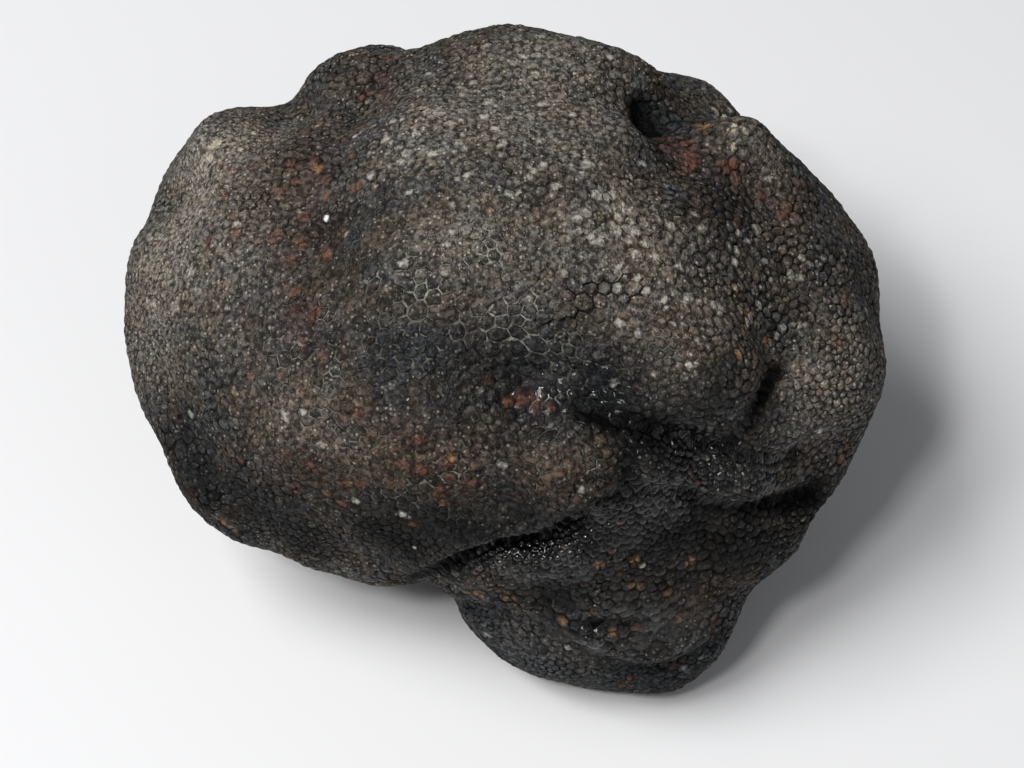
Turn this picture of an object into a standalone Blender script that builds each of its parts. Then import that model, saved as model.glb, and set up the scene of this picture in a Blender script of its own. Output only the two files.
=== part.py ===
"""Smooth black truffle: one grown body, resting on a small flat spot. Metres, +Z up.

The body is made the way a sculptor would. Rounded lobes are fused into one form, swellings and hollows are
pushed into it, creases are drawn over it, and then its skin is divided into small cells, each of which is
raised into a low wart. The side with the creases faces -Y.
"""

import math
import random
from collections import namedtuple

import bmesh
import bpy
import numpy as np
from mathutils import Vector, noise
from mathutils.bvhtree import BVHTree

MM = 0.001

# Finish
SKIN_COLOUR = (0.030, 0.025, 0.023, 1.0)
SKIN_ROUGHNESS = 0.6

# The forms of the creased side are placed by where an eye in front of it and above it sees them, in a frame
# of 1024 x 768 pixels. FRAME_SCALE is that frame's pixels for a millimetre at the distance of AIM.
FRAME_CENTRE = (512.0, 384.0)
FRAME_SCALE = 15.2
EYE_ELEVATION = math.radians(55.0)
EYE_DISTANCE = 200.0
AIM = Vector((0.0, -2.0, 15.0))
EYE_RIGHT = Vector((1.0, 0.0, 0.0))
EYE_UP = Vector((0.0, math.sin(EYE_ELEVATION), math.cos(EYE_ELEVATION)))
EYE_BACK = Vector((0.0, -math.cos(EYE_ELEVATION), math.sin(EYE_ELEVATION)))
EYE = AIM + EYE_BACK * EYE_DISTANCE

# Grain of the form while it is worked, in millimetres, and how often it is smoothed
LOBE_GRAIN = 0.5
CREASE_GRAIN = 0.4
FORM_GRAIN = 0.35
FUSE_PASSES = 40
SETTLE_PASSES = 5

Lobe = namedtuple("Lobe", "centre half_sizes")
Swelling = namedtuple("Swelling", "place radius height")
Crease = namedtuple("Crease", "upper_width lower_width depth overhang route")

# The rounded masses that the body grew from, in millimetres
LOBES = {
    "body": Lobe((-0.5, 0.0, 19.0), (22.5, 18.0, 16.0)),
    "left shoulder": Lobe((-16.4, 9.2, 20.4), (6.5, 6.5, 7.5)),
    "left side": Lobe((-13.7, 1.4, 16.0), (12.1, 12.0, 12.0)),
    "left corner": Lobe((-15.6, -6.0, 13.5), (6.5, 6.2, 7.0)),
    "lower rim": Lobe((-7.6, -6.0, 12.5), (10.0, 8.6, 8.6)),
    "crown": Lobe((1.2, 9.0, 22.7), (13.0, 9.7, 11.0)),
    "right crown": Lobe((7.0, 8.4, 21.0), (9.8, 9.8, 10.0)),
    "top left knob": Lobe((-9.9, 12.9, 23.9), (5.1, 5.1, 6.0)),
    "right side": Lobe((8.4, -0.4, 17.2), (16.5, 13.8, 14.4)),
    "foot": Lobe((6.0, -12.2, 7.0), (10.2, 6.9, 9.5)),
    "haunch": Lobe((11.8, -8.6, 12.5), (8.1, 7.3, 8.3)),
    "base": Lobe((0.8, -1.2, 6.0), (11.0, 11.0, 8.4)),
}

# Swellings of the creased side. Each place is in pixels of the eye's frame, and each radius and height in
# millimetres. A hollow has a height below zero.
SWELLINGS = {
    "middle bulge": Swelling((692, 368), 4.2, 3.4),
    "tan bulge": Swelling((585, 466), 3.2, 2.4),
    "rim swell": Swelling((430, 455), 5.0, 0.9),
    "trough": Swelling((510, 380), 3.8, -2.1),
    "trough right": Swelling((592, 378), 3.2, -1.8),
    "polygon field": Swelling((470, 275), 5.0, 1.3),
    "left valley": Swelling((310, 190), 4.0, -1.9),
    "left valley head": Swelling((350, 105), 3.2, -1.3),
    "left valley end": Swelling((300, 290), 4.2, -1.0),
    "shoulder crest": Swelling((225, 165), 3.4, 1.0),
    "shoulder notch": Swelling((176, 200), 2.0, -0.8),
    "pit": Swelling((646, 112), 1.8, -1.3),
    "pit trough": Swelling((690, 157), 2.3, -1.1),
    "pit trough end": Swelling((765, 200), 2.2, -0.7),
    "right crest": Swelling((764, 152), 3.2, 1.3),
    "right edge": Swelling((854, 248), 3.0, -0.9),
    "left crest": Swelling((148, 250), 4.0, 0.7),
    "lower left crest": Swelling((180, 452), 3.2, 1.2),
    "rim end": Swelling((370, 568), 2.6, -0.6),
    "upper right crest": Swelling((750, 138), 2.4, 1.7),
    "upper right notch": Swelling((743, 127), 2.5, 1.4),
    "rim notch": Swelling((656, 74), 2.0, 0.5),
    "upper left crest": Swelling((400, 58), 3.0, 0.6),
    "flank ridge": Swelling((845, 370), 4.5, 1.1),
    "flank dip": Swelling((775, 300), 4.0, -0.9),
    "flank notch": Swelling((822, 486), 2.6, 1.0),
    "pillow": Swelling((668, 462), 2.2, 1.0),
    "right pillow": Swelling((745, 472), 2.4, 1.0),
    "foot crown": Swelling((620, 575), 4.2, 1.1),
    "left fold": Swelling((330, 515), 4.0, -0.7),
    "lower left edge": Swelling((282, 538), 3.0, 0.7),
    "middle swell": Swelling((430, 200), 6.0, 0.7),
}

# Swellings of the sides that the eye doesn't see. Each place is a compass turn from -Y and an elevation, in
# degrees.
HIDDEN_SWELLINGS = {
    "back hollow": Swelling((165, 20), 5.0, -1.6),
    "back lobe": Swelling((195, 5), 6.0, 1.4),
    "back left hollow": Swelling((225, 25), 4.5, -1.4),
    "back left lobe": Swelling((240, -5), 5.5, 1.2),
    "back right lobe": Swelling((140, 0), 6.0, 1.3),
    "back right hollow": Swelling((120, 30), 4.5, -1.2),
    "right hollow": Swelling((95, -10), 4.0, -1.0),
    "left hollow": Swelling((262, -8), 4.0, -0.8),
}

# Creases of the creased side: the width of the upper and the lower wall, the depth and how far the upper lip
# hangs over it, in millimetres, and the route in pixels of the eye's frame. A valley is a wide crease under
# a narrow one.
CREASES = {
    "valley over the foot": Crease(
        *(4.2, 1.8, 2.2, 0.0),
        [(380, 590), (463, 553), (536, 535), (594, 508), (636, 486)],
    ),
    "valley under the bulge": Crease(2.8, 1.5, 2.0, 0.0, [(596, 405), (650, 420), (700, 437), (748, 440)]),
    "over the foot": Crease(
        *(1.2, 0.8, 3.0, 1.3),
        [(380, 585), (424, 564), (463, 545), (504, 532), (536, 528), (570, 511), (594, 500), (626, 487)],
    ),
    "beside the tan bulge": Crease(
        *(1.7, 1.5, 2.2, 0.4),
        [(594, 505), (616, 492), (630, 474), (626, 454), (636, 436), (632, 418)],
    ),
    "under the bulge": Crease(
        *(1.1, 0.8, 3.4, 1.3),
        [(572, 402), (609, 413), (632, 412), (662, 422), (710, 436), (742, 440)],
    ),
    "pit under the bulge": Crease(1.5, 1.1, 3.3, 0.9, [(655, 421), (680, 428), (710, 434), (742, 438)]),
    "behind the bulge": Crease(1.5, 0.9, 2.1, 0.7, [(732, 440), (747, 417), (758, 394), (785, 350)]),
    "flank branch": Crease(1.0, 0.9, 1.7, 0.5, [(725, 440), (747, 449), (760, 455), (779, 456), (818, 440)]),
    "under the pillows": Crease(
        *(1.2, 0.9, 2.4, 0.8),
        [(612, 496), (640, 488), (667, 486), (691, 488), (708, 500), (744, 502), (778, 495), (830, 485)],
    ),
    "between the pillows": Crease(0.7, 0.7, 0.9, 0.0, [(697, 456), (697, 474), (695, 492)]),
    "foot groove": Crease(0.8, 0.8, 0.9, 0.0, [(700, 504), (707, 545), (706, 592)]),
    "foot crest": Crease(
        *(0.9, 1.3, 1.0, 0.7),
        [(452, 600), (500, 606), (545, 620), (572, 640), (602, 654)]
        + [(636, 664), (672, 662), (708, 643), (724, 610)],
    ),
    "short foot crease": Crease(0.8, 0.6, 1.5, 0.5, [(570, 610), (592, 621), (628, 623), (650, 614)]),
    "into the pit": Crease(0.7, 0.9, 1.6, 0.5, [(654, 138), (641, 132), (633, 120), (634, 106), (643, 92)]),
}
# A crease tapers over this many widths at each end, and follows the form every few pixels. Its lip spreads
# and reaches this many widths, and nothing is cut where the form is turned away from the eye.
CREASE_TAPER = 2.0
CREASE_STEP = 5.0
CREASE_TURN_PASSES = 8
LIP_SPREAD = 0.8
LIP_REACH = 3.0
TURNED_AWAY = -0.5

# Unevenness of the whole form: the size of its waves and their height, in millimetres
UNEVEN = ((11.0, 0.7), (4.5, 0.55))

# The flat spot that it rests on is pressed at this height above the lowest point of the lobes, in millimetres
FLAT_SPOT_DEPTH = 2.0

# Warts, larger than life: how many, how deep the grooves between them and how high their tops in
# millimetres, and how much the height of each may differ by chance
WART_CELLS = 1850
WART_GROOVE = 0.12
WART_HEIGHT = 0.42
WART_CHANCE = 0.25
WART_SEED = 5

# The net of cells is evened out in rounds. An edge is turned only where the new one would be shorter than
# this many times the old one. Six edges meet at each corner of an even net.
RELAX_ROUNDS = 12
LONGEST_TURN = 1.6
EVEN_EDGES = 6


def clear_scene():
    for obj in list(bpy.data.objects):
        bpy.data.objects.remove(obj)


def apply_modifier(obj, kind, **settings):
    """Adds a modifier with its settings and applies it."""
    modifier = obj.modifiers.new(kind.title(), kind)
    for name, value in settings.items():
        setattr(modifier, name, value)
    bpy.context.view_layer.objects.active = obj
    bpy.ops.object.modifier_apply(modifier=modifier.name)


def points_of(obj):
    points = np.empty(len(obj.data.vertices) * 3)
    obj.data.vertices.foreach_get("co", points)
    return points.reshape(-1, 3)


def normals_of(obj):
    normals = np.empty(len(obj.data.vertices) * 3)
    obj.data.vertices.foreach_get("normal", normals)
    return normals.reshape(-1, 3)


def move_points(obj, points):
    obj.data.vertices.foreach_set("co", points.reshape(-1))
    obj.data.update()


def sight_line(pixel):
    """The direction in which the eye sees a pixel of its frame."""
    focal = FRAME_SCALE * EYE_DISTANCE
    across = (pixel[0] - FRAME_CENTRE[0]) / focal
    upward = (FRAME_CENTRE[1] - pixel[1]) / focal
    return (EYE_RIGHT * across + EYE_UP * upward - EYE_BACK).normalized()


def seen_point(obj, pixel):
    """The point of the form that the eye sees at a pixel, or None where the pixel is beside the form."""
    found, point, _, _ = obj.ray_cast(EYE * MM, sight_line(pixel))
    return point if found else None


def outer_point(obj, compass, elevation):
    """The outermost point of the form in a direction from its middle."""
    turn, tilt = math.radians(compass), math.radians(elevation)
    outward = Vector((math.sin(turn) * math.cos(tilt), -math.cos(turn) * math.cos(tilt), math.sin(tilt)))
    middle = Vector(LOBES["body"].centre) * MM
    _, point, _, _ = obj.ray_cast(middle + outward * EYE_DISTANCE * MM, -outward)
    return point


def add_lobe(lobe):
    centre = Vector(lobe.centre) * MM
    bpy.ops.mesh.primitive_ico_sphere_add(subdivisions=5, radius=MM, location=centre, scale=lobe.half_sizes)
    bpy.ops.object.transform_apply(location=True, rotation=False, scale=True)
    return bpy.context.object


def fuse_lobes():
    """Joins the lobes into one smooth form."""
    lobes = [add_lobe(lobe) for lobe in LOBES.values()]
    bpy.ops.object.select_all(action="DESELECT")
    for lobe in lobes:
        lobe.select_set(True)
    bpy.context.view_layer.objects.active = lobes[0]
    bpy.ops.object.join()
    form = bpy.context.object
    apply_modifier(form, "REMESH", mode="VOXEL", voxel_size=LOBE_GRAIN * MM)
    apply_modifier(form, "SMOOTH", factor=0.5, iterations=FUSE_PASSES)
    return form


def swell(form, centre, swelling):
    """Pushes the form out, or in where the height is below zero, around a point on it."""
    points, normals = points_of(form), normals_of(form)
    spread = ((points - np.array(centre)) ** 2).sum(axis=1)
    share = np.exp(-spread / (swelling.radius * MM) ** 2)
    outward = (normals * share[:, None]).sum(axis=0)
    outward /= np.linalg.norm(outward)
    move_points(form, points + outward * (share * swelling.height * MM)[:, None])


def make_uneven(form):
    """Gives the whole form the low, slow waves of a thing that grew in stony soil."""
    points, normals = points_of(form), normals_of(form)
    rise = np.zeros(len(points))
    for size, height in UNEVEN:
        rise += [height * MM * noise.noise(Vector(point) / (size * MM)) for point in points]
    move_points(form, points + normals * rise[:, None])


def route_on(form, pixels):
    """The points of a crease on the form, every few pixels along its route, which may start beside it."""
    route = []
    for start, end in zip(pixels[:-1], pixels[1:]):
        steps = max(2, round(math.dist(start, end) / CREASE_STEP))
        for step in range(steps):
            part = step / steps
            pixel = (start[0] + (end[0] - start[0]) * part, start[1] + (end[1] - start[1]) * part)
            route.append(seen_point(form, pixel))
    route.append(seen_point(form, pixels[-1]))
    return np.array([point for point in route if point])


def ways_up(route):
    """The way up across a route at each of its points, in the eye's frame, which turns smoothly along it."""
    right, up = np.array(EYE_RIGHT), np.array(EYE_UP)
    runs = np.gradient(route, axis=0)
    upwards = (runs @ right)[:, None] * up - (runs @ up)[:, None] * right
    for _ in range(CREASE_TURN_PASSES):
        upwards[1:-1] = (upwards[:-2] + upwards[1:-1] + upwards[2:]) / 3
    return upwards / np.linalg.norm(upwards, axis=1)[:, None]


def nearest_on_route(points, route):
    """Each point's distance from the route and from its ends, how far above it is, and the way up there."""
    distance = np.full(len(points), np.inf)
    inward, above = np.zeros(len(points)), np.zeros(len(points))
    across = np.zeros((len(points), 3))
    upwards = ways_up(route)
    lengths = np.linalg.norm(np.diff(route, axis=0), axis=1)
    reached = np.concatenate([[0.0], np.cumsum(lengths)])
    for index, length in enumerate(lengths):
        start, run = route[index], route[index + 1] - route[index]
        part = np.clip((points - start) @ run / length**2, 0, 1)
        offset = points - start - part[:, None] * run
        gap = np.linalg.norm(offset, axis=1)
        upward = upwards[index] + part[:, None] * (upwards[index + 1] - upwards[index])
        nearer = gap < distance
        distance[nearer] = gap[nearer]
        reach = reached[index] + part * length
        inward[nearer] = np.minimum(reach, reached[-1] - reach)[nearer]
        across[nearer] = upward[nearer]
        above[nearer] = (offset * upward).sum(axis=1)[nearer]
    return distance, inward, above, across


def cut_crease(form, crease):
    """Sinks a crease away from the eye, so that it stays on its route, and draws its upper lip over it."""
    points = points_of(form)
    distance, inward, above, across = nearest_on_route(points, route_on(form, crease.route))
    width = np.where(above > 0, crease.upper_width, crease.lower_width) * MM
    ends = np.clip(inward / (CREASE_TAPER * crease.upper_width * MM), 0, 1)
    ends[normals_of(form) @ np.array(EYE_BACK) < TURNED_AWAY] = 0
    sunk = np.exp(-distance / width) * ends * crease.depth * MM
    lip = np.exp(-(((above - width) / (LIP_SPREAD * width)) ** 2))
    lip *= (above > 0) * np.clip(LIP_REACH - distance / width, 0, 1)
    drawn = across * (lip * ends * crease.overhang * MM)[:, None]
    move_points(form, points - np.array(EYE_BACK) * sunk[:, None] - drawn)


def rest_on_flat_spot(body):
    """Sets the body on z = 0, with its middle over the origin, and presses its lowest part flat."""
    points = points_of(body)
    low, high = points.min(axis=0), points.max(axis=0)
    points -= [(low[0] + high[0]) / 2, (low[1] + high[1]) / 2, low[2] + FLAT_SPOT_DEPTH * MM]
    points[:, 2] = np.maximum(points[:, 2], 0)
    move_points(body, points)


def make_form():
    """The truffle's whole form, with its lobes and creases but without warts."""
    form = fuse_lobes()
    for swelling in SWELLINGS.values():
        swell(form, seen_point(form, swelling.place), swelling)
    for swelling in HIDDEN_SWELLINGS.values():
        swell(form, outer_point(form, *swelling.place), swelling)
    make_uneven(form)
    apply_modifier(form, "REMESH", mode="VOXEL", voxel_size=CREASE_GRAIN * MM)
    for crease in CREASES.values():
        cut_crease(form, crease)
    apply_modifier(form, "REMESH", mode="VOXEL", voxel_size=FORM_GRAIN * MM)
    apply_modifier(form, "SMOOTH", factor=0.5, iterations=SETTLE_PASSES)
    return form


def even_net(form, cells):
    """A net of even triangles over the form, with about one corner for each cell."""
    net = form.copy()
    net.data = form.data.copy()
    bpy.context.collection.objects.link(net)
    apply_modifier(net, "TRIANGULATE")
    apply_modifier(net, "DECIMATE", ratio=cells / len(net.data.vertices))
    surface = BVHTree.FromObject(form, bpy.context.evaluated_depsgraph_get())
    mesh = bmesh.new()
    mesh.from_mesh(net.data)
    for _ in range(RELAX_ROUNDS):
        even_out(mesh)
        relax(mesh, surface)
    mesh.to_mesh(net.data)
    mesh.free()
    return net


def even_out(mesh):
    """Turns each edge whose turning brings the corners around it nearer to six edges each."""
    for edge in list(mesh.edges):
        if not edge.is_valid or len(edge.link_faces) != 2:
            continue
        ends = edge.verts
        sides = [next(vert for vert in face.verts if vert not in ends) for face in edge.link_faces]
        now = sum((len(vert.link_edges) - EVEN_EDGES) ** 2 for vert in (*ends, *sides))
        then = sum((len(vert.link_edges) - 1 - EVEN_EDGES) ** 2 for vert in ends)
        then += sum((len(vert.link_edges) + 1 - EVEN_EDGES) ** 2 for vert in sides)
        short = (sides[0].co - sides[1].co).length < LONGEST_TURN * edge.calc_length()
        if then < now and short and not mesh.edges.get(sides):
            bmesh.utils.edge_rotate(edge, True)


def relax(mesh, surface):
    """Moves each corner to the middle of its neighbours, and back on to the form."""
    middles = []
    for vert in mesh.verts:
        ring = [edge.other_vert(vert).co for edge in vert.link_edges]
        middles.append(sum(ring, Vector()) / len(ring))
    for vert, middle in zip(mesh.verts, middles):
        vert.co = surface.find_nearest(middle)[0]


def cells_of(net):
    """Turns the net into its dual, with one many-sided cell around each of its corners."""
    tree = bpy.data.node_groups.new("Cells", "GeometryNodeTree")
    tree.interface.new_socket("Geometry", in_out="INPUT", socket_type="NodeSocketGeometry")
    tree.interface.new_socket("Geometry", in_out="OUTPUT", socket_type="NodeSocketGeometry")
    start = tree.nodes.new("NodeGroupInput")
    dual = tree.nodes.new("GeometryNodeDualMesh")
    end = tree.nodes.new("NodeGroupOutput")
    tree.links.new(start.outputs[0], dual.inputs[0])
    tree.links.new(dual.outputs[0], end.inputs[0])
    apply_modifier(net, "NODES", node_group=tree)
    bpy.data.node_groups.remove(tree)
    return net


def raise_warts(cells):
    """Sinks the edges between the cells a little and raises the middle of each into a low wart."""
    chance = random.Random(WART_SEED)
    mesh = bmesh.new()
    mesh.from_mesh(cells.data)
    mesh.normal_update()
    for vert in mesh.verts:
        vert.co -= vert.normal * WART_GROOVE * MM
    for face in list(mesh.faces):
        outward = face.normal.copy()
        rise = WART_HEIGHT * chance.uniform(1 - WART_CHANCE, 1 + WART_CHANCE)
        top = bmesh.ops.poke(mesh, faces=[face])["verts"][0]
        top.co += outward * rise * MM
    mesh.to_mesh(cells.data)
    mesh.free()


def skin():
    material = bpy.data.materials.new("skin")
    material.use_nodes = True
    shader = material.node_tree.nodes["Principled BSDF"]
    shader.inputs["Base Color"].default_value = SKIN_COLOUR
    shader.inputs["Roughness"].default_value = SKIN_ROUGHNESS
    shader.inputs["Metallic"].default_value = 0.0
    return material


def put_in_collection(obj, name):
    """Moves the object into a collection of its own."""
    collection = bpy.data.collections.new(name)
    bpy.context.scene.collection.children.link(collection)
    for old in list(obj.users_collection):
        old.objects.unlink(obj)
    collection.objects.link(obj)


def main():
    clear_scene()
    form = make_form()
    truffle = cells_of(even_net(form, WART_CELLS))
    bpy.data.objects.remove(form)
    raise_warts(truffle)
    rest_on_flat_spot(truffle)
    truffle.name = truffle.data.name = "truffle"
    truffle.data.materials.append(skin())
    put_in_collection(truffle, "smooth_black_truffle")


if __name__ == "__main__":
    main()
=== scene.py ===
"""Finished look of the smooth black truffle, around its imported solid. Metres, +Z up, creased side to -Y.

The truffle is grown as its solid is, from the same named values but with a finer grain. Lobes are fused into
one form, swellings are pushed into it and creases are drawn over it. Its skin is then divided into cells of
about a millimetre, each one a low wart, and marked with the zones and spots that its finish reads.
"""

import heapq
import logging
import math
from collections.abc import Sequence
from dataclasses import dataclass, field
from enum import Enum

import bmesh
import bpy
import numpy as np
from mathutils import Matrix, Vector, noise
from mathutils.bvhtree import BVHTree


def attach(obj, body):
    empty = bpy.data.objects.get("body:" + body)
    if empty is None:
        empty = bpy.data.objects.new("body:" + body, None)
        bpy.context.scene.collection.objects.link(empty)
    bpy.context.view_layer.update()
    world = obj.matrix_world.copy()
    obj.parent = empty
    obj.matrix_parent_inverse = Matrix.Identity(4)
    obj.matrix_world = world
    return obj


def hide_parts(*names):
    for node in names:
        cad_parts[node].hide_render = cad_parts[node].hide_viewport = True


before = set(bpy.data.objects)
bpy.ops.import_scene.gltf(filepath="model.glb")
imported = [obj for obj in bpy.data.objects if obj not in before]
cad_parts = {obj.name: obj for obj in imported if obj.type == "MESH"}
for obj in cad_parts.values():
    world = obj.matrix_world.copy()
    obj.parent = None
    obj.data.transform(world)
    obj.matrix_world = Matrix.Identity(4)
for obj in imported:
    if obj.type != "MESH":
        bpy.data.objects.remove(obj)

log = logging.getLogger("truffle")

MM = 0.001

Pixel = tuple[float, float]
Pair = tuple[float, float]
Triple = tuple[float, float, float]
Object = bpy.types.Object


@dataclass(frozen=True)
class Eye:
    """The eye that looks at the truffle, in millimetres, and the frame of pixels in which it places things.

    Attributes:
        frame_centre: The pixel that the eye looks at.
        scale: Pixels for a millimetre at the distance of the aim.
        elevation: How far above the horizon the eye is, in radians.
        distance: How far the eye is from its aim.
        aim: The point that it looks at.
        settling: How the grown truffle is moved to stand over the origin, on its flat spot.
        clip: The nearest and the farthest that its camera shows, in metres.
    """

    frame_centre: Pixel = (512.0, 384.0)
    scale: float = 15.2
    elevation: float = math.radians(55.0)
    distance: float = 200.0
    aim: Triple = (0.0, -2.0, 15.0)
    settling: Triple = (0.7369, 0.1278, 0.6261)
    clip: Pair = (0.01, 10.0)

    @property
    def right(self) -> Vector:
        """The direction of the frame's rows."""
        return Vector((1.0, 0.0, 0.0))

    @property
    def up(self) -> Vector:
        """The direction of the frame's columns."""
        return Vector((0.0, math.sin(self.elevation), math.cos(self.elevation)))

    @property
    def back(self) -> Vector:
        """The direction from the aim to the eye."""
        return Vector((0.0, -math.cos(self.elevation), math.sin(self.elevation)))

    @property
    def place(self) -> Vector:
        """Where the eye is, in millimetres."""
        return Vector(self.aim) + self.back * self.distance

    def sight_line(self, pixel: Pixel) -> Vector:
        """Finds the direction in which the eye sees a pixel.

        Args:
            pixel: A pixel of the frame, counted from its upper left corner.

        Returns:
            A direction of length one.
        """
        focal = self.scale * self.distance
        across = (pixel[0] - self.frame_centre[0]) / focal
        upward = (self.frame_centre[1] - pixel[1]) / focal
        return (self.right * across + self.up * upward - self.back).normalized()

    def seen_point(self, obj: Object, pixel: Pixel) -> Vector | None:
        """Finds the point of an object that shows at a pixel.

        Args:
            obj: A mesh at the origin.
            pixel: A pixel of the frame.

        Returns:
            The point in metres, or None where the pixel is beside the object.
        """
        found, point, _, _ = obj.ray_cast(self.place * MM, self.sight_line(pixel))
        return point if found else None

    def seen_points(self, obj: Object, pixels: Sequence[Pixel]) -> np.ndarray:
        """Finds the points that show at some pixels, one row each. Pixels beside the object are left out."""
        seen = [self.seen_point(obj, pixel) for pixel in pixels]
        return np.array([point for point in seen if point])

    def make_camera(self) -> None:
        """Makes the scene's camera at the eye."""
        data = bpy.data.cameras.new("camera")
        camera = bpy.data.objects.new("camera", data)
        bpy.context.scene.collection.objects.link(camera)
        data.lens = data.sensor_width * self.scale * self.distance / (2 * self.frame_centre[0])
        data.clip_start, data.clip_end = self.clip
        camera.location = (self.place + Vector(self.settling)) * MM
        camera.rotation_euler = (-self.back).to_track_quat("-Z", "Y").to_euler()
        bpy.context.scene.camera = camera


@dataclass(frozen=True)
class Lobe:
    """A rounded mass that the body grew from, in millimetres."""

    centre: Triple
    half_sizes: Triple


@dataclass(frozen=True)
class Swelling:
    """A swelling, or a hollow where its height is below zero. The radius and the height are millimetres.

    Its place is a pixel of the eye's frame. On a side that the eye doesn't see, it is a compass turn from -Y
    and an elevation, in degrees.
    """

    place: Pixel
    radius: float
    height: float


@dataclass(frozen=True)
class Crease:
    """A crease on a route of pixels. The widths of its walls, its depth and its overhang are millimetres."""

    upper_width: float
    lower_width: float
    depth: float
    overhang: float
    route: tuple[Pixel, ...]


LOBES = {
    "body": Lobe((-0.5, 0.0, 19.0), (22.5, 18.0, 16.0)),
    "left shoulder": Lobe((-16.4, 9.2, 20.4), (6.5, 6.5, 7.5)),
    "left side": Lobe((-13.7, 1.4, 16.0), (12.1, 12.0, 12.0)),
    "left corner": Lobe((-15.6, -6.0, 13.5), (6.5, 6.2, 7.0)),
    "lower rim": Lobe((-7.6, -6.0, 12.5), (10.0, 8.6, 8.6)),
    "crown": Lobe((1.2, 9.0, 22.7), (13.0, 9.7, 11.0)),
    "right crown": Lobe((7.0, 8.4, 21.0), (9.8, 9.8, 10.0)),
    "top left knob": Lobe((-9.9, 12.9, 23.9), (5.1, 5.1, 6.0)),
    "right side": Lobe((8.4, -0.4, 17.2), (16.5, 13.8, 14.4)),
    "foot": Lobe((6.0, -12.2, 7.0), (10.2, 6.9, 9.5)),
    "haunch": Lobe((11.8, -8.6, 12.5), (8.1, 7.3, 8.3)),
    "base": Lobe((0.8, -1.2, 6.0), (11.0, 11.0, 8.4)),
}

SWELLINGS = {
    "middle bulge": Swelling((692, 368), 4.2, 3.4),
    "tan bulge": Swelling((585, 466), 3.2, 2.4),
    "rim swell": Swelling((430, 455), 5.0, 0.9),
    "trough": Swelling((510, 380), 3.8, -2.1),
    "trough right": Swelling((592, 378), 3.2, -1.8),
    "polygon field": Swelling((470, 275), 5.0, 1.3),
    "left valley": Swelling((310, 190), 4.0, -1.9),
    "left valley head": Swelling((350, 105), 3.2, -1.3),
    "left valley end": Swelling((300, 290), 4.2, -1.0),
    "shoulder crest": Swelling((225, 165), 3.4, 1.0),
    "shoulder notch": Swelling((176, 200), 2.0, -0.8),
    "pit": Swelling((646, 112), 1.8, -1.3),
    "pit trough": Swelling((690, 157), 2.3, -1.1),
    "pit trough end": Swelling((765, 200), 2.2, -0.7),
    "right crest": Swelling((764, 152), 3.2, 1.3),
    "right edge": Swelling((854, 248), 3.0, -0.9),
    "left crest": Swelling((148, 250), 4.0, 0.7),
    "lower left crest": Swelling((180, 452), 3.2, 1.2),
    "rim end": Swelling((370, 568), 2.6, -0.6),
    "upper right crest": Swelling((750, 138), 2.4, 1.7),
    "upper right notch": Swelling((743, 127), 2.5, 1.4),
    "rim notch": Swelling((656, 74), 2.0, 0.5),
    "upper left crest": Swelling((400, 58), 3.0, 0.6),
    "flank ridge": Swelling((845, 370), 4.5, 1.1),
    "flank dip": Swelling((775, 300), 4.0, -0.9),
    "flank notch": Swelling((822, 486), 2.6, 1.0),
    "pillow": Swelling((668, 462), 2.2, 1.0),
    "right pillow": Swelling((745, 472), 2.4, 1.0),
    "foot crown": Swelling((620, 575), 4.2, 1.1),
    "left fold": Swelling((330, 515), 4.0, -0.7),
    "lower left edge": Swelling((282, 538), 3.0, 0.7),
    "middle swell": Swelling((430, 200), 6.0, 0.7),
}

HIDDEN_SWELLINGS = {
    "back hollow": Swelling((165, 20), 5.0, -1.6),
    "back lobe": Swelling((195, 5), 6.0, 1.4),
    "back left hollow": Swelling((225, 25), 4.5, -1.4),
    "back left lobe": Swelling((240, -5), 5.5, 1.2),
    "back right lobe": Swelling((140, 0), 6.0, 1.3),
    "back right hollow": Swelling((120, 30), 4.5, -1.2),
    "right hollow": Swelling((95, -10), 4.0, -1.0),
    "left hollow": Swelling((262, -8), 4.0, -0.8),
}

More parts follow.
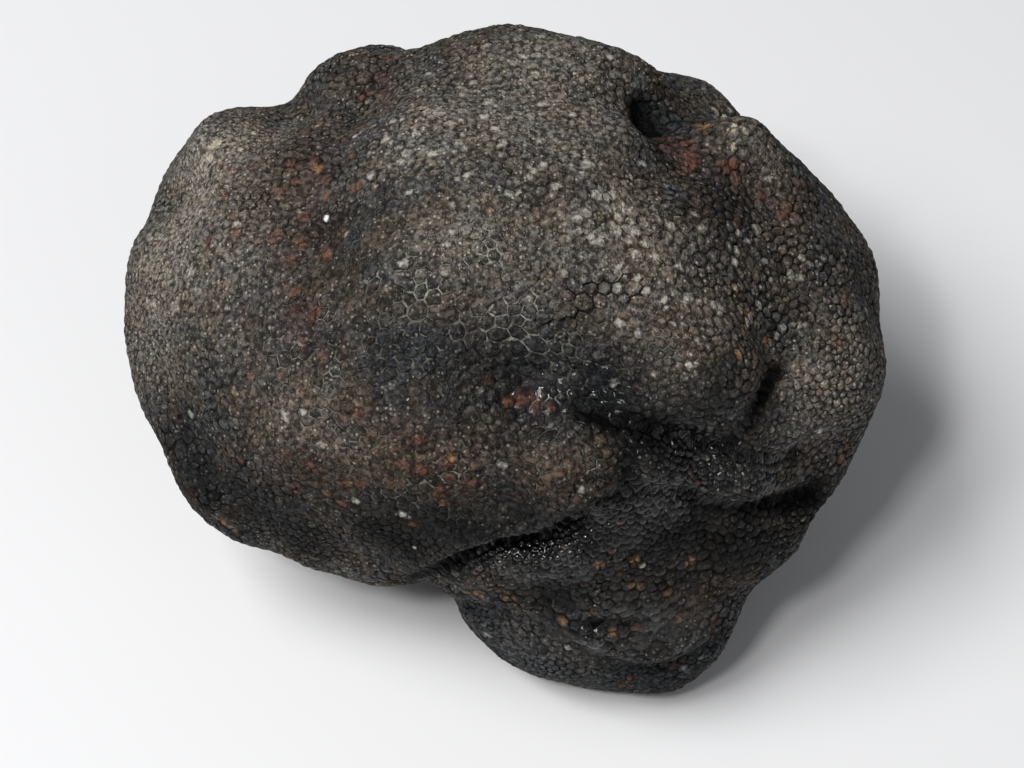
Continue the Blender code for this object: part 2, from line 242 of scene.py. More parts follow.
CREASES = {
    "valley over the foot": Crease(
        4.2, 1.8, 2.2, 0.0,
        ((380, 590), (463, 553), (536, 535), (594, 508), (636, 486)),
    ),
    "valley under the bulge": Crease(2.8, 1.5, 2.0, 0.0, ((596, 405), (650, 420), (700, 437), (748, 440))),
    "over the foot": Crease(
        1.2, 0.8, 3.0, 1.3,
        ((380, 585), (424, 564), (463, 545), (504, 532), (536, 528), (570, 511), (594, 500), (626, 487)),
    ),
    "beside the tan bulge": Crease(
        1.7, 1.5, 2.2, 0.4,
        ((594, 505), (616, 492), (630, 474), (626, 454), (636, 436), (632, 418)),
    ),
    "under the bulge": Crease(
        1.1, 0.8, 3.4, 1.3,
        ((572, 402), (609, 413), (632, 412), (662, 422), (710, 436), (742, 440)),
    ),
    "pit under the bulge": Crease(1.5, 1.1, 3.3, 0.9, ((655, 421), (680, 428), (710, 434), (742, 438))),
    "behind the bulge": Crease(1.5, 0.9, 2.1, 0.7, ((732, 440), (747, 417), (758, 394), (785, 350))),
    "flank branch": Crease(1.0, 0.9, 1.7, 0.5, ((725, 440), (747, 449), (760, 455), (779, 456), (818, 440))),
    "under the pillows": Crease(
        1.2, 0.9, 2.4, 0.8,
        ((612, 496), (640, 488), (667, 486), (691, 488), (708, 500), (744, 502), (778, 495), (830, 485)),
    ),
    "between the pillows": Crease(0.7, 0.7, 0.9, 0.0, ((697, 456), (697, 474), (695, 492))),
    "foot groove": Crease(0.8, 0.8, 0.9, 0.0, ((700, 504), (707, 545), (706, 592))),
    "foot crest": Crease(
        0.9, 1.3, 1.0, 0.7,
        (
            (452, 600), (500, 606), (545, 620), (572, 640), (602, 654),
            (636, 664), (672, 662), (708, 643), (724, 610),
        ),
    ),
    "short foot crease": Crease(0.8, 0.6, 1.5, 0.5, ((570, 610), (592, 621), (628, 623), (650, 614))),
    "into the pit": Crease(0.7, 0.9, 1.6, 0.5, ((654, 138), (641, 132), (633, 120), (634, 106), (643, 92))),
}


def deselect_all() -> None:
    """Leaves nothing selected."""
    bpy.ops.object.select_all(action="DESELECT")


def select_only(obj: Object) -> None:
    """Makes one object the only selected one, and the active one."""
    deselect_all()
    obj.select_set(True)
    bpy.context.view_layer.objects.active = obj


def apply_modifier(obj: Object, kind: str, **settings: object) -> None:
    """Adds a modifier to an object and applies it.

    Args:
        obj: The mesh object.
        kind: The modifier's type.
        **settings: Its settings by name.
    """
    modifier = obj.modifiers.new(kind.title(), kind)
    for name, value in settings.items():
        setattr(modifier, name, value)
    select_only(obj)
    bpy.ops.object.modifier_apply(modifier=modifier.name)


def points_of(obj: Object) -> np.ndarray:
    """Reads a mesh's points, one row each."""
    points = np.empty(len(obj.data.vertices) * 3)
    obj.data.vertices.foreach_get("co", points)
    return points.reshape(-1, 3)


def normals_of(obj: Object) -> np.ndarray:
    """Reads the normals at a mesh's points, one row each."""
    normals = np.empty(len(obj.data.vertices) * 3)
    obj.data.vertices.foreach_get("normal", normals)
    return normals.reshape(-1, 3)


def move_points(obj: Object, points: np.ndarray) -> None:
    """Moves a mesh's points to new places, one row each."""
    obj.data.vertices.foreach_set("co", points.reshape(-1))
    obj.data.update()


def nearness(points: np.ndarray, centre: Sequence[float], radius: float) -> np.ndarray:
    """Works out how near points are to a centre, from 1 on it to next to nothing at twice the radius."""
    return np.exp(-((points - np.array(centre)) ** 2).sum(axis=1) / radius**2)


@dataclass
class TruffleForm:
    """The truffle's whole form, with its lobes, swellings and creases but without warts.

    Attributes:
        eye: The eye in whose frame the creased side is placed.
        ball_rounds: How often a lobe's ball is subdivided.
        lobe_grain: Grain of the fused lobes, in millimetres.
        crease_grain: Grain at which creases are drawn.
        form_grain: Grain of the finished form.
        smoothing: How far a smoothing pass moves a point towards the middle of its neighbours.
        fuse_passes: How often the fused lobes are smoothed.
        settle_passes: How often the finished form is smoothed.
        unevenness: The sizes and heights of the low waves all over, in millimetres.
        crease_taper: The length at each end over which a crease tapers, in widths.
        crease_step: Pixels between the points at which a crease follows the form.
        turn_passes: How often the way up across a crease is smoothed along it.
        lip_spread: How wide a crease's upper lip is drawn, in wall widths.
        lip_reach: How far from the crease its lip is drawn, in wall widths.
        turned_away: The facing below which the form is turned away from the eye and isn't cut.
    """

    eye: Eye
    ball_rounds: int = 5
    lobe_grain: float = 0.5
    crease_grain: float = 0.32
    form_grain: float = 0.22
    smoothing: float = 0.5
    fuse_passes: int = 40
    settle_passes: int = 9
    unevenness: tuple[Pair, ...] = ((11.0, 0.7), (4.5, 0.55))
    crease_taper: float = 2.0
    crease_step: float = 5.0
    turn_passes: int = 8
    lip_spread: float = 0.8
    lip_reach: float = 3.0
    turned_away: float = -0.5

    def build(self) -> Object:
        """Grows the form.

        Returns:
            One closed mesh.
        """
        form = self.fuse_lobes()
        for swelling in SWELLINGS.values():
            self.swell(form, self.eye.seen_point(form, swelling.place), swelling)
        for swelling in HIDDEN_SWELLINGS.values():
            self.swell(form, self.outer_point(form, *swelling.place), swelling)
        self.make_uneven(form)
        apply_modifier(form, "REMESH", mode="VOXEL", voxel_size=self.crease_grain * MM)
        for crease in CREASES.values():
            self.cut_crease(form, crease)
        apply_modifier(form, "REMESH", mode="VOXEL", voxel_size=self.form_grain * MM)
        apply_modifier(form, "SMOOTH", factor=self.smoothing, iterations=self.settle_passes)
        return form

    def fuse_lobes(self) -> Object:
        """Makes each lobe a ball and joins them into one smooth form.

        Returns:
            One closed mesh.
        """
        balls = []
        for lobe in LOBES.values():
            centre = Vector(lobe.centre) * MM
            bpy.ops.mesh.primitive_ico_sphere_add(
                subdivisions=self.ball_rounds, radius=MM, location=centre, scale=lobe.half_sizes
            )
            bpy.ops.object.transform_apply(location=True, rotation=False, scale=True)
            balls.append(bpy.context.object)
        for ball in balls:
            ball.select_set(True)
        bpy.context.view_layer.objects.active = balls[0]
        bpy.ops.object.join()
        form = bpy.context.object
        form.name = "form"
        apply_modifier(form, "REMESH", mode="VOXEL", voxel_size=self.lobe_grain * MM)
        apply_modifier(form, "SMOOTH", factor=self.smoothing, iterations=self.fuse_passes)
        return form

    def outer_point(self, form: Object, compass: float, elevation: float) -> Vector:
        """Finds the outermost point of the form in a direction from its middle.

        Args:
            form: The form.
            compass: The turn from -Y, in degrees.
            elevation: The tilt above the horizon, in degrees.

        Returns:
            The point in metres.
        """
        turn, tilt = math.radians(compass), math.radians(elevation)
        level = math.cos(tilt)
        outward = Vector((math.sin(turn) * level, -math.cos(turn) * level, math.sin(tilt)))
        middle = Vector(LOBES["body"].centre) * MM
        _, point, _, _ = form.ray_cast(middle + outward * self.eye.distance * MM, -outward)
        return point

    def swell(self, form: Object, centre: Vector, swelling: Swelling) -> None:
        """Pushes the form out, or in, around a point on it.

        Args:
            form: The form.
            centre: The point, in metres.
            swelling: The swelling's radius and height.
        """
        points, normals = points_of(form), normals_of(form)
        share = nearness(points, centre, swelling.radius * MM)
        outward = (normals * share[:, None]).sum(axis=0)
        outward /= np.linalg.norm(outward)
        move_points(form, points + outward * (share * swelling.height * MM)[:, None])

    def make_uneven(self, form: Object) -> None:
        """Gives the whole form the low, slow waves of a thing that grew in stony soil."""
        points, normals = points_of(form), normals_of(form)
        rise = np.zeros(len(points))
        for size, height in self.unevenness:
            rise += [height * MM * noise.noise(Vector(point) / (size * MM)) for point in points]
        move_points(form, points + normals * rise[:, None])

    def route_on(self, form: Object, pixels: Sequence[Pixel]) -> np.ndarray:
        """Lays a route on the form.

        Args:
            form: The form.
            pixels: The route's corners, some of which may be beside the form.

        Returns:
            Points on the form every few pixels, one row each, in metres.
        """
        route = []
        for start, end in zip(pixels[:-1], pixels[1:]):
            steps = max(2, round(math.dist(start, end) / self.crease_step))
            for step in range(steps):
                part = step / steps
                route.append((start[0] + (end[0] - start[0]) * part, start[1] + (end[1] - start[1]) * part))
        return self.eye.seen_points(form, [*route, pixels[-1]])

    def ways_up(self, route: np.ndarray) -> np.ndarray:
        """Finds the way up across a route, in the eye's frame, so that it turns smoothly.

        Args:
            route: The route's points, one row each.

        Returns:
            A direction for each point.
        """
        right, up = np.array(self.eye.right), np.array(self.eye.up)
        runs = np.gradient(route, axis=0)
        upwards = (runs @ right)[:, None] * up - (runs @ up)[:, None] * right
        for _ in range(self.turn_passes):
            upwards[1:-1] = (upwards[:-2] + upwards[1:-1] + upwards[2:]) / 3
        return upwards / np.linalg.norm(upwards, axis=1)[:, None]

    def nearest_on_route(
        self, points: np.ndarray, route: np.ndarray
    ) -> tuple[np.ndarray, np.ndarray, np.ndarray, np.ndarray]:
        """Measures points against a route.

        Args:
            points: The points, one row each.
            route: The route's points, one row each.

        Returns:
            Each point's distance from the route, how far inside the route's ends that is, how far above the
            route it is in the eye's frame, and the way up from the route there.
        """
        distance = np.full(len(points), np.inf)
        inward, above = np.zeros(len(points)), np.zeros(len(points))
        across = np.zeros((len(points), 3))
        upwards = self.ways_up(route)
        lengths = np.linalg.norm(np.diff(route, axis=0), axis=1)
        reached = np.concatenate([[0.0], np.cumsum(lengths)])
        for index, length in enumerate(lengths):
            start, run = route[index], route[index + 1] - route[index]
            part = np.clip((points - start) @ run / length**2, 0, 1)
            offset = points - start - part[:, None] * run
            gap = np.linalg.norm(offset, axis=1)
            upward = upwards[index] + part[:, None] * (upwards[index + 1] - upwards[index])
            nearer = gap < distance
            distance[nearer] = gap[nearer]
            reach = reached[index] + part * length
            inward[nearer] = np.minimum(reach, reached[-1] - reach)[nearer]
            across[nearer] = upward[nearer]
            above[nearer] = (offset * upward).sum(axis=1)[nearer]
        return distance, inward, above, across

    def cut_crease(self, form: Object, crease: Crease) -> None:
        """Sinks a crease away from the eye, so that it stays on its route, and draws its lip over it.

        Args:
            form: The form.
            crease: The crease.
        """
        points, back = points_of(form), np.array(self.eye.back)
        route = self.route_on(form, crease.route)
        distance, inward, above, across = self.nearest_on_route(points, route)
        width = np.where(above > 0, crease.upper_width, crease.lower_width) * MM
        ends = np.clip(inward / (self.crease_taper * crease.upper_width * MM), 0, 1)
        ends[normals_of(form) @ back < self.turned_away] = 0
        sunk = np.exp(-distance / width) * ends * crease.depth * MM
        lip = np.exp(-(((above - width) / (self.lip_spread * width)) ** 2))
        lip *= (above > 0) * np.clip(self.lip_reach - distance / width, 0, 1)
        drawn = across * (lip * ends * crease.overhang * MM)[:, None]
        move_points(form, points - back * sunk[:, None] - drawn)


class Zone(Enum):
    """A zone of the skin, stored on its mesh in an attribute of this name.

    Attributes:
        DUSTY: Pale dust lies on it.
        SLATE: It is blue-black.
        SOOT_AND_SHADE: It is the deepest black, partly painted shade in the creases, under the overhangs and
            over the lower side.
        RUSTY: Rust shows through it.
        TAN: It is brown.
        NETTED: A pale net runs between its warts.
        DAMP: It is damp and glints.
        DOTTED_AND_HIGHLIT: It has cream dots, partly painted highlights on the tops of its warts.
        WALL: It is the fibrous wall of the foot.
        FINE: Its warts are small.
        BROAD: Its warts are large and flat.
        BEADED: Its warts stand out like beads.
    """

    DUSTY = "dusty"
    SLATE = "slate"
    SOOT_AND_SHADE = "soot_and_shade"
    RUSTY = "rusty"
    TAN = "tan"
    NETTED = "netted"
    DAMP = "damp"
    DOTTED_AND_HIGHLIT = "dotted_and_highlit"
    WALL = "wall"
    FINE = "fine"
    BROAD = "broad"
    BEADED = "beaded"


class Spot(Enum):
    """A colour of blots on the skin, stored on its mesh in an attribute of this name."""

    RUST = "rust"
    OCHRE = "ochre"
    # Cream blots: pale wart tops, partly painted highlights.
    CREAM_AND_HIGHLIGHT = "cream_and_highlight"
    STRAW = "straw"
    WHITE = "white"


@dataclass(frozen=True)
class Patch:
    """One soft-edged patch of a zone: its pixel, its radius in millimetres and how strong it is."""

    place: Pixel
    radius: float
    strength: float = 1.0


def patches(*rows: tuple[float, ...]) -> tuple[Patch, ...]:
    """Makes patches, each from its pixel, its radius and, where it is below 1, its strength."""
    return tuple(Patch((across, down), *rest) for across, down, *rest in rows)


@dataclass(frozen=True)
class Blots:
    """The blots of one colour: their look, those that have a set place, and how likely others are.

    Attributes:
        radius: How large they are, in millimetres.
        colour: Their colour.
        raggedness: How ragged their edges are.
        start: Where it starts to show, from 0 at its edge to 1 in its middle.
        full: Where it shows in full.
        mottled: Whether the grain of the skin shows through.
        places: The pixels of those that have a set place.
        anywhere: The chance that a wart has another one.
        zone: The zone in which the chance is higher.
        in_zone: How much is added to the chance there.
    """

    radius: float
    colour: Triple
    raggedness: float
    start: float
    full: float
    mottled: bool
    places: tuple[Pixel, ...]
    anywhere: float = 0.0
    zone: Zone = Zone.RUSTY
    in_zone: float = 0.0


ZONES = {
    Zone.DUSTY: patches(
        (205, 165, 5.0), (165, 260, 4.4, 0.85), (155, 350, 3.0, 0.5), (235, 250, 3.2, 0.5),
        (225, 345, 3.6, 0.2), (540, 55, 4.0, 0.55), (440, 120, 5.0, 0.6), (560, 130, 4.4, 0.6),
        (480, 240, 4.0, 0.4), (640, 250, 4.5, 0.55), (300, 420, 3.5, 0.2), (745, 130, 1.8, 0.6),
        (850, 345, 3.6, 0.35), (800, 395, 2.8, 0.5), (838, 425, 3.0, 0.25), (690, 330, 3.0, 0.15),
        (700, 90, 1.8, 0.35), (780, 165, 1.8, 0.3),
    ),
    Zone.SLATE: patches(
        (450, 345, 2.4, 0.8), (520, 370, 3.0), (600, 380, 2.8), (400, 340, 2.0, 0.6), (345, 160, 1.8, 0.4),
        (640, 140, 2.4, 0.5), (690, 125, 2.2, 0.5), (560, 425, 2.0, 0.5), (520, 648, 3.0, 0.6),
        (640, 680, 3.0, 0.6),
    ),
    # Deepest black, partly painted shade: many of these patches lie in creases, under overhangs, in the pit
    # and over the lower left.
    Zone.SOOT_AND_SHADE: patches(
        (390, 540, 3.4), (460, 530, 3.0), (530, 518, 1.8), (590, 550, 4.6), (680, 540, 4.6),
        (690, 465, 3.4), (765, 482, 3.0), (740, 455, 2.2, 0.8), (810, 503, 2.8), (560, 600, 3.0),
        (600, 640, 3.4, 0.9), (620, 505, 2.8), (650, 610, 3.0, 0.6), (750, 550, 3.4, 0.95), (545, 560, 2.6),
        (590, 535, 2.6), (710, 405, 2.2, 0.8), (300, 540, 3.4, 0.8), (640, 435, 2.2), (638, 112, 1.2, 0.2),
        (190, 480, 3.4, 0.7), (520, 375, 3.2, 0.55), (600, 385, 2.8, 0.6), (330, 230, 2.4, 0.3),
        (250, 500, 3.4, 0.7), (420, 520, 4.0, 0.6), (340, 500, 4.0, 0.35), (170, 420, 3.0, 0.5),
        (700, 200, 2.4, 0.4), (775, 320, 2.6, 0.4), (480, 640, 3.0, 0.4), (650, 690, 4.0, 0.5),
        (300, 470, 4.0, 0.3), (440, 470, 3.8, 0.32), (580, 490, 2.6, 0.35), (690, 365, 3.4, 0.2),
    ),
    Zone.RUSTY: patches(
        (290, 165, 3.2), (305, 235, 2.8), (375, 80, 2.4, 0.9), (300, 315, 3.0, 0.6), (310, 480, 3.0, 0.8),
        (410, 475, 3.0, 0.8), (530, 398, 1.8, 0.7), (665, 143, 1.4), (695, 157, 1.4), (735, 170, 1.6),
        (790, 205, 2.0, 0.9), (640, 580, 4.0, 0.5), (735, 310, 2.2, 0.5),
    ),
    Zone.TAN: patches(
        (590, 478, 2.6), (540, 478, 2.2, 0.7), (450, 468, 2.6, 0.8), (300, 450, 3.6, 0.6),
        (380, 460, 3.0, 0.6), (470, 290, 3.5, 0.3), (690, 340, 3.5, 0.5), (640, 240, 3.5, 0.4),
        (600, 560, 3.0, 0.3), (700, 600, 2.4, 0.5),
    ),
    Zone.NETTED: patches(
        (435, 290, 4.0), (490, 268, 4.0), (510, 315, 3.0), (560, 340, 2.6, 0.6), (400, 240, 3.0, 0.7),
        (310, 320, 3.8, 0.7), (300, 400, 3.6, 0.6), (430, 480, 3.6, 0.8), (350, 470, 3.0, 0.7),
        (570, 480, 3.0, 0.8), (600, 350, 2.6, 0.6), (680, 340, 3.0, 0.4), (780, 430, 2.6, 0.5),
        (690, 610, 2.0, 0.4),
    ),
    # Where cream dots gather, partly painted highlights on the wart tops.
    Zone.DOTTED_AND_HIGHLIT: patches(
        (640, 235, 3.8), (690, 285, 3.0, 0.9), (480, 130, 5.5, 0.9), (560, 175, 4.0, 0.8),
        (400, 150, 3.4, 0.7), (760, 280, 3.0, 0.5), (540, 80, 4.0, 0.5), (640, 330, 3.0, 0.5),
    ),
    Zone.DAMP: patches(
        (690, 464, 3.2), (770, 470, 2.8, 0.9), (500, 558, 2.4), (550, 550, 2.6), (610, 520, 2.6, 0.6),
        (660, 505, 2.6, 0.7), (600, 640, 2.6), (650, 630, 2.4, 0.7), (540, 392, 2.4, 0.45),
        (600, 395, 2.4, 0.45), (710, 380, 2.4, 0.4), (590, 575, 3.0, 0.25), (660, 565, 3.0, 0.2),
    ),
    Zone.WALL: patches(
        (480, 625, 2.2), (500, 655, 2.2), (550, 672, 2.2), (610, 682, 2.0), (670, 678, 2.0),
        (712, 655, 2.0), (735, 610, 1.8, 0.8),
    ),
    Zone.FINE: patches(
        (200, 170, 5.0), (160, 260, 4.5), (155, 350, 4.0, 0.8), (690, 470, 4.0), (770, 460, 3.6),
        (560, 555, 4.0, 0.9), (660, 545, 4.0, 0.8), (620, 500, 3.0, 0.9), (500, 560, 3.0, 0.8),
        (820, 330, 4.5, 0.8), (840, 420, 3.5, 0.8), (800, 520, 3.0, 0.8), (690, 350, 3.0, 0.5),
        (480, 630, 2.5, 0.8), (520, 665, 3.0, 0.8), (620, 680, 3.0, 0.8), (700, 665, 3.0, 0.8),
        (300, 545, 3.0, 0.7), (420, 540, 2.5, 0.7),
    ),
    Zone.BROAD: patches(
        (450, 290, 3.4), (500, 310, 3.2), (400, 250, 3.0, 0.7), (560, 310, 3.0, 0.7), (300, 330, 3.5, 0.6),
        (400, 460, 3.5, 0.6), (640, 240, 3.5, 0.4), (310, 210, 3.5, 0.6),
    ),
    Zone.BEADED: patches(
        (690, 460, 3.6), (770, 455, 3.6), (820, 380, 4.0, 0.8), (780, 300, 4.0, 0.6), (840, 280, 4.0, 0.6),
        (690, 340, 4.4, 0.5), (560, 550, 4.0), (660, 550, 4.4), (620, 500, 3.0), (480, 555, 3.0, 0.9),
        (600, 390, 3.0, 0.6), (500, 385, 3.6, 0.6), (760, 520, 3.5, 0.8),
    ),
}

SPOTS = {
    Spot.RUST: Blots(
        radius=0.46, colour=(0.150, 0.066, 0.041), raggedness=0.6, start=0.14, full=0.65, mottled=True,
        places=(
            (276, 130), (301, 132), (290, 165), (281, 190), (326, 196), (304, 216), (273, 237), (301, 242),
            (340, 232), (383, 95), (364, 95), (388, 57), (359, 126), (349, 158), (355, 186), (374, 186),
            (291, 260), (326, 253), (663, 138), (660, 147), (690, 153), (692, 163), (728, 166), (791, 211),
            (300, 345), (322, 357), (316, 311), (295, 310), (402, 466), (420, 470), (388, 480), (360, 484),
            (520, 398), (535, 404), (508, 402), (320, 485), (296, 487), (345, 484), (470, 484),
        ),
        anywhere=0.012, zone=Zone.RUSTY, in_zone=0.16,
    ),
    Spot.OCHRE: Blots(
        radius=0.43, colour=(0.34, 0.18, 0.085), raggedness=0.6, start=0.15, full=0.75, mottled=True,
        places=(
            (318, 167), (316, 168), (739, 354), (648, 423), (700, 123), (704, 126), (598, 566), (635, 560),
            (634, 587), (563, 621), (613, 632), (691, 562), (681, 620), (450, 460), (232, 530), (222, 522),
            (466, 594), (478, 595), (500, 592), (508, 599), (736, 287), (750, 314),
        ),
        anywhere=0.003, zone=Zone.RUSTY, in_zone=0.02,
    ),
    # Cream blots on the wart tops: partly pale skin, partly painted highlights.
    Spot.CREAM_AND_HIGHLIGHT: Blots(
        radius=0.35, colour=(0.42, 0.40, 0.35), raggedness=0.8, start=0.15, full=0.50, mottled=True,
        places=(
            (606, 196), (626, 208), (612, 210), (633, 228), (600, 240), (618, 235), (650, 225), (604, 262),
            (622, 270), (664, 300), (640, 290), (686, 300), (598, 194), (611, 193), (580, 219), (594, 238),
        ),
        anywhere=0.01, zone=Zone.DOTTED_AND_HIGHLIT, in_zone=0.5,
    ),
    Spot.STRAW: Blots(
        radius=0.36, colour=(0.45, 0.41, 0.27), raggedness=1.6, start=0.40, full=0.62, mottled=False,
        places=(
            (711, 106), (718, 111), (725, 116), (733, 128), (741, 131), (752, 133), (734, 147), (740, 153),
            (228, 150), (240, 148), (252, 132), (208, 158), (216, 142),
        ),
    ),
    Spot.WHITE: Blots(
        radius=0.30, colour=(0.80, 0.80, 0.78), raggedness=0.4, start=0.40, full=0.60, mottled=False,
        places=((326, 218),),
    ),
}

# Long dark cracks that follow the borders of the warts.
CRACKS = (
    ((536, 321), (556, 318), (577, 308), (596, 302), (616, 294), (640, 288)),
    ((574, 286), (596, 280), (624, 276)),
    ((754, 226), (745, 241), (736, 252)),
    ((791, 188), (794, 202), (790, 214)),
    ((705, 520), (708, 545), (707, 575)),
)


class Ground:
    """The form's surface, on which the skin's points are set down.

    Attributes:
        looks: How many ways to look around a point there are, half of them outward.
        lowest_look: How far out of the surface a look has to lead, from 0 to 1.
        lift: How far above the surface a look starts, as a share of its reach.
    """

    looks: int = 40
    lowest_look: float = 0.15
    lift: float = 0.03

    def __init__(self, form: Object) -> None:
        """Reads the form's surface."""
        self.tree = BVHTree.FromObject(form, bpy.context.evaluated_depsgraph_get())

    def nearest(self, point: Vector) -> Vector:
        """Finds the surface's nearest point."""
        return self.tree.find_nearest(point)[0]

    def settle(self, points: np.ndarray) -> tuple[np.ndarray, np.ndarray]:
        """Sets points down on the surface.

        Args:
            points: The points, one row each.

        Returns:
            Their nearest places on the surface, and the surface's normals there.
        """
        found = [self.tree.find_nearest(point)[:2] for point in points]
        return np.array([place for place, _ in found]), np.array([normal for _, normal in found])

    def shelter(self, points: np.ndarray, normals: np.ndarray, reach: float) -> np.ndarray:
        """Works out how enclosed points are by the form's own folds.

        Args:
            points: Points on the surface, one row each.
            normals: The surface's normals there.
            reach: How far away a fold still shelters, in metres.

        Returns:
            The share of outward looks that meet a fold, for each point.
        """
        level = 1 - (np.arange(self.looks) + 0.5) * 2 / self.looks
        golden_angle = math.pi * (3 - math.sqrt(5))
        turn = np.arange(self.looks) * golden_angle
        flat = np.sqrt(1 - level**2)
        looks = np.stack([flat * np.cos(turn), flat * np.sin(turn), level], axis=1)
        shares = np.zeros(len(points))
        for index, (point, normal) in enumerate(zip(points, normals)):
            outward = looks[looks @ normal > self.lowest_look]
            start = Vector(point + normal * reach * self.lift)
            met = sum(self.tree.ray_cast(start, Vector(look), reach)[0] is not None for look in outward)
            shares[index] = met / len(outward)
        return shares


@dataclass
class WartySkin:
    """The truffle's skin: a net of cells over the form, each one a low wart.

    Attributes:
        eye: The eye in whose frame zones and spots are placed.
        grower: What grew the form, which knows where its creases run.
        cells: About how many warts there are.
        evenness: How much more an edge's length counts than its shape while the net is thinned out.
        coarseness: How much longer a cell is where the skin is neither fine nor broad, from 0 to 1.
        breadth: How much is added to that where the skin is broad.
        relax_rounds: How often the net is evened out.
        longest_turn: The most that an edge may grow by when it is turned.
        relief: Depth from a wart's top to its border, in millimetres.
        beading: How much deeper that is where the skin is beaded.
        dust_fill: The share of the relief that dust fills.
        rise_range: The least and the most that a wart's top rises, as a share of the relief.
        shoulder: How far out a wart's shoulder is, as a share of the way to its border.
        shoulder_range: The least and the most that chance makes of that.
        shoulder_level: How high a shoulder is, as a share of its wart's top.
        flatness: How much is added to that where the skin is broad.
        groove_patch: How large the patches of deeper and shallower grooves are, in millimetres.
        groove_mean: How deep an average groove is, as a share of the deepest.
        groove_swing: How much deeper or shallower the patches make it.
        groove_stray: How much chance adds or takes away at each point.
        shallowest: How deep the shallowest groove is, as a share of the deepest.
        border_across: How near the top a shallow border counts in the finish, from 0 to 1.
        shoulder_across: The same for a shoulder.
        first_inset: How far inside its border a shoulder is made, in millimetres.
        wander: How far a border's points stray by chance, in millimetres.
        crack_depth: How much deeper a cracked border is, in millimetres.
        sink: How far the whole skin is sunk, in millimetres, so that its warts stay within the solid's box.
        shelter_reach: How far away a fold still shelters the skin, in millimetres.
        seam_width: How far from a crease's seam the painted shade reaches, in millimetres.
        seam_drop: How far its lip has carried a seam down, as a share of the crease's overhang.
        seam_reach: How far from its crease's route a seam can be, in millimetres.
        seam_taper: The length over which a seam fades at its ends, in millimetres.
        seam_depth: The depth from which a crease's painted seam shade is full, in millimetres.
        blot_strengths: The least and the most strength of a blot that falls by chance.
        seen_blot_strengths: The same for one that has a set place.
        blot_sizes: The least and the most that chance makes of a blot's radius.
        seed: Where chance starts.
        rings: How many points there are up to the borders, the shoulders and the tops.
    """

    eye: Eye
    grower: TruffleForm
    cells: int = 10700
    evenness: float = 60.0
    coarseness: float = 0.34
    breadth: float = 0.12
    relax_rounds: int = 1
    longest_turn: float = 1.6
    relief: float = 0.12
    beading: float = 0.16
    dust_fill: float = 0.4
    rise_range: Pair = (0.1, 0.9)
    shoulder: float = 0.72
    shoulder_range: Pair = (0.86, 1.12)
    shoulder_level: float = 0.45
    flatness: float = 0.5
    groove_patch: float = 2.2
    groove_mean: float = 0.55
    groove_swing: float = 1.2
    groove_stray: float = 0.3
    shallowest: float = 0.25
    border_across: float = 0.30
    shoulder_across: float = 0.5
    first_inset: float = 0.01
    wander: float = 0.08
    crack_depth: float = 0.14
    sink: float = 0.10
    shelter_reach: float = 5.0
    seam_width: float = 0.42
    seam_drop: float = 0.5
    seam_reach: float = 2.5
    seam_taper: float = 1.5
    seam_depth: float = 2.4
    blot_strengths: Pair = (0.25, 0.85)
    seen_blot_strengths: Pair = (0.7, 1.0)
    blot_sizes: Pair = (0.75, 1.2)
    seed: int = 5
    rings: list[int] = field(default_factory=list)

    def build(self, form: Object) -> Object:
        """Makes the skin over the form.

        Args:
            form: The form. It is used up.

        Returns:
            The finished skin, on its flat spot.
        """
        chance = np.random.default_rng(self.seed)
        ground = Ground(form)
        skin = self.make_cells(self.make_net(form, ground))
        cracked = self.find_cracked(skin, form)
        self.split_cells(skin)
        self.raise_warts(skin, form, ground, cracked, chance)
        self.mark_zones(skin, form)
        self.paint_seam_shade(skin, form)
        self.mark_spots(skin, form, chance)
        bpy.data.objects.remove(form)
        self.rest_on_flat_spot(skin)
        select_only(skin)
        bpy.ops.object.shade_smooth()
        return skin

    def make_net(self, form: Object, ground: Ground) -> Object:
        """Thins the form out to a net of triangles with one corner for each cell, finer on the fine skin.

        Args:
            form: The form.
            ground: Its surface.

        Returns:
            The net.
        """
        net = form.copy()
        net.data = form.data.copy()
        bpy.context.collection.objects.link(net)
        apply_modifier(net, "TRIANGULATE")
        coarse = net.vertex_groups.new(name="coarse")
        points = points_of(net)
        weights = self.coarseness + self.breadth * self.zone_mask(points, form, Zone.BROAD)
        weights *= 1 - self.zone_mask(points, form, Zone.FINE)
        for index, weight in enumerate(weights):
            coarse.add((index,), float(weight), "REPLACE")
        apply_modifier(
            net,
            "DECIMATE",
            ratio=self.cells / len(net.data.vertices),
            vertex_group="coarse",
            vertex_group_factor=self.evenness,
        )
        mesh = bmesh.new()
        mesh.from_mesh(net.data)
        for _ in range(self.relax_rounds):
            self.even_out(mesh)
            self.relax(mesh, ground)
        mesh.to_mesh(net.data)
        mesh.free()
        return net

    def even_out(self, mesh: bmesh.types.BMesh) -> None:
        """Turns each edge whose turning brings the corners around it nearer to six edges each."""
        even = 6
        for edge in list(mesh.edges):
            if not edge.is_valid or len(edge.link_faces) != 2:
                continue
            ends = edge.verts
            sides = [next(vert for vert in face.verts if vert not in ends) for face in edge.link_faces]
            now = sum((len(vert.link_edges) - even) ** 2 for vert in (*ends, *sides))
            then = sum((len(vert.link_edges) - 1 - even) ** 2 for vert in ends)
            then += sum((len(vert.link_edges) + 1 - even) ** 2 for vert in sides)
            short = (sides[0].co - sides[1].co).length < self.longest_turn * edge.calc_length()
            if then < now and short and not mesh.edges.get(sides):
                bmesh.utils.edge_rotate(edge, True)

    def relax(self, mesh: bmesh.types.BMesh, ground: Ground) -> None:
        """Moves each corner to the middle of its neighbours, and back on to the form."""
        middles = []
        for vert in mesh.verts:
            ring = [edge.other_vert(vert).co for edge in vert.link_edges]
            middles.append(sum(ring, Vector()) / len(ring))
        for vert, middle in zip(mesh.verts, middles):
            vert.co = ground.nearest(middle)

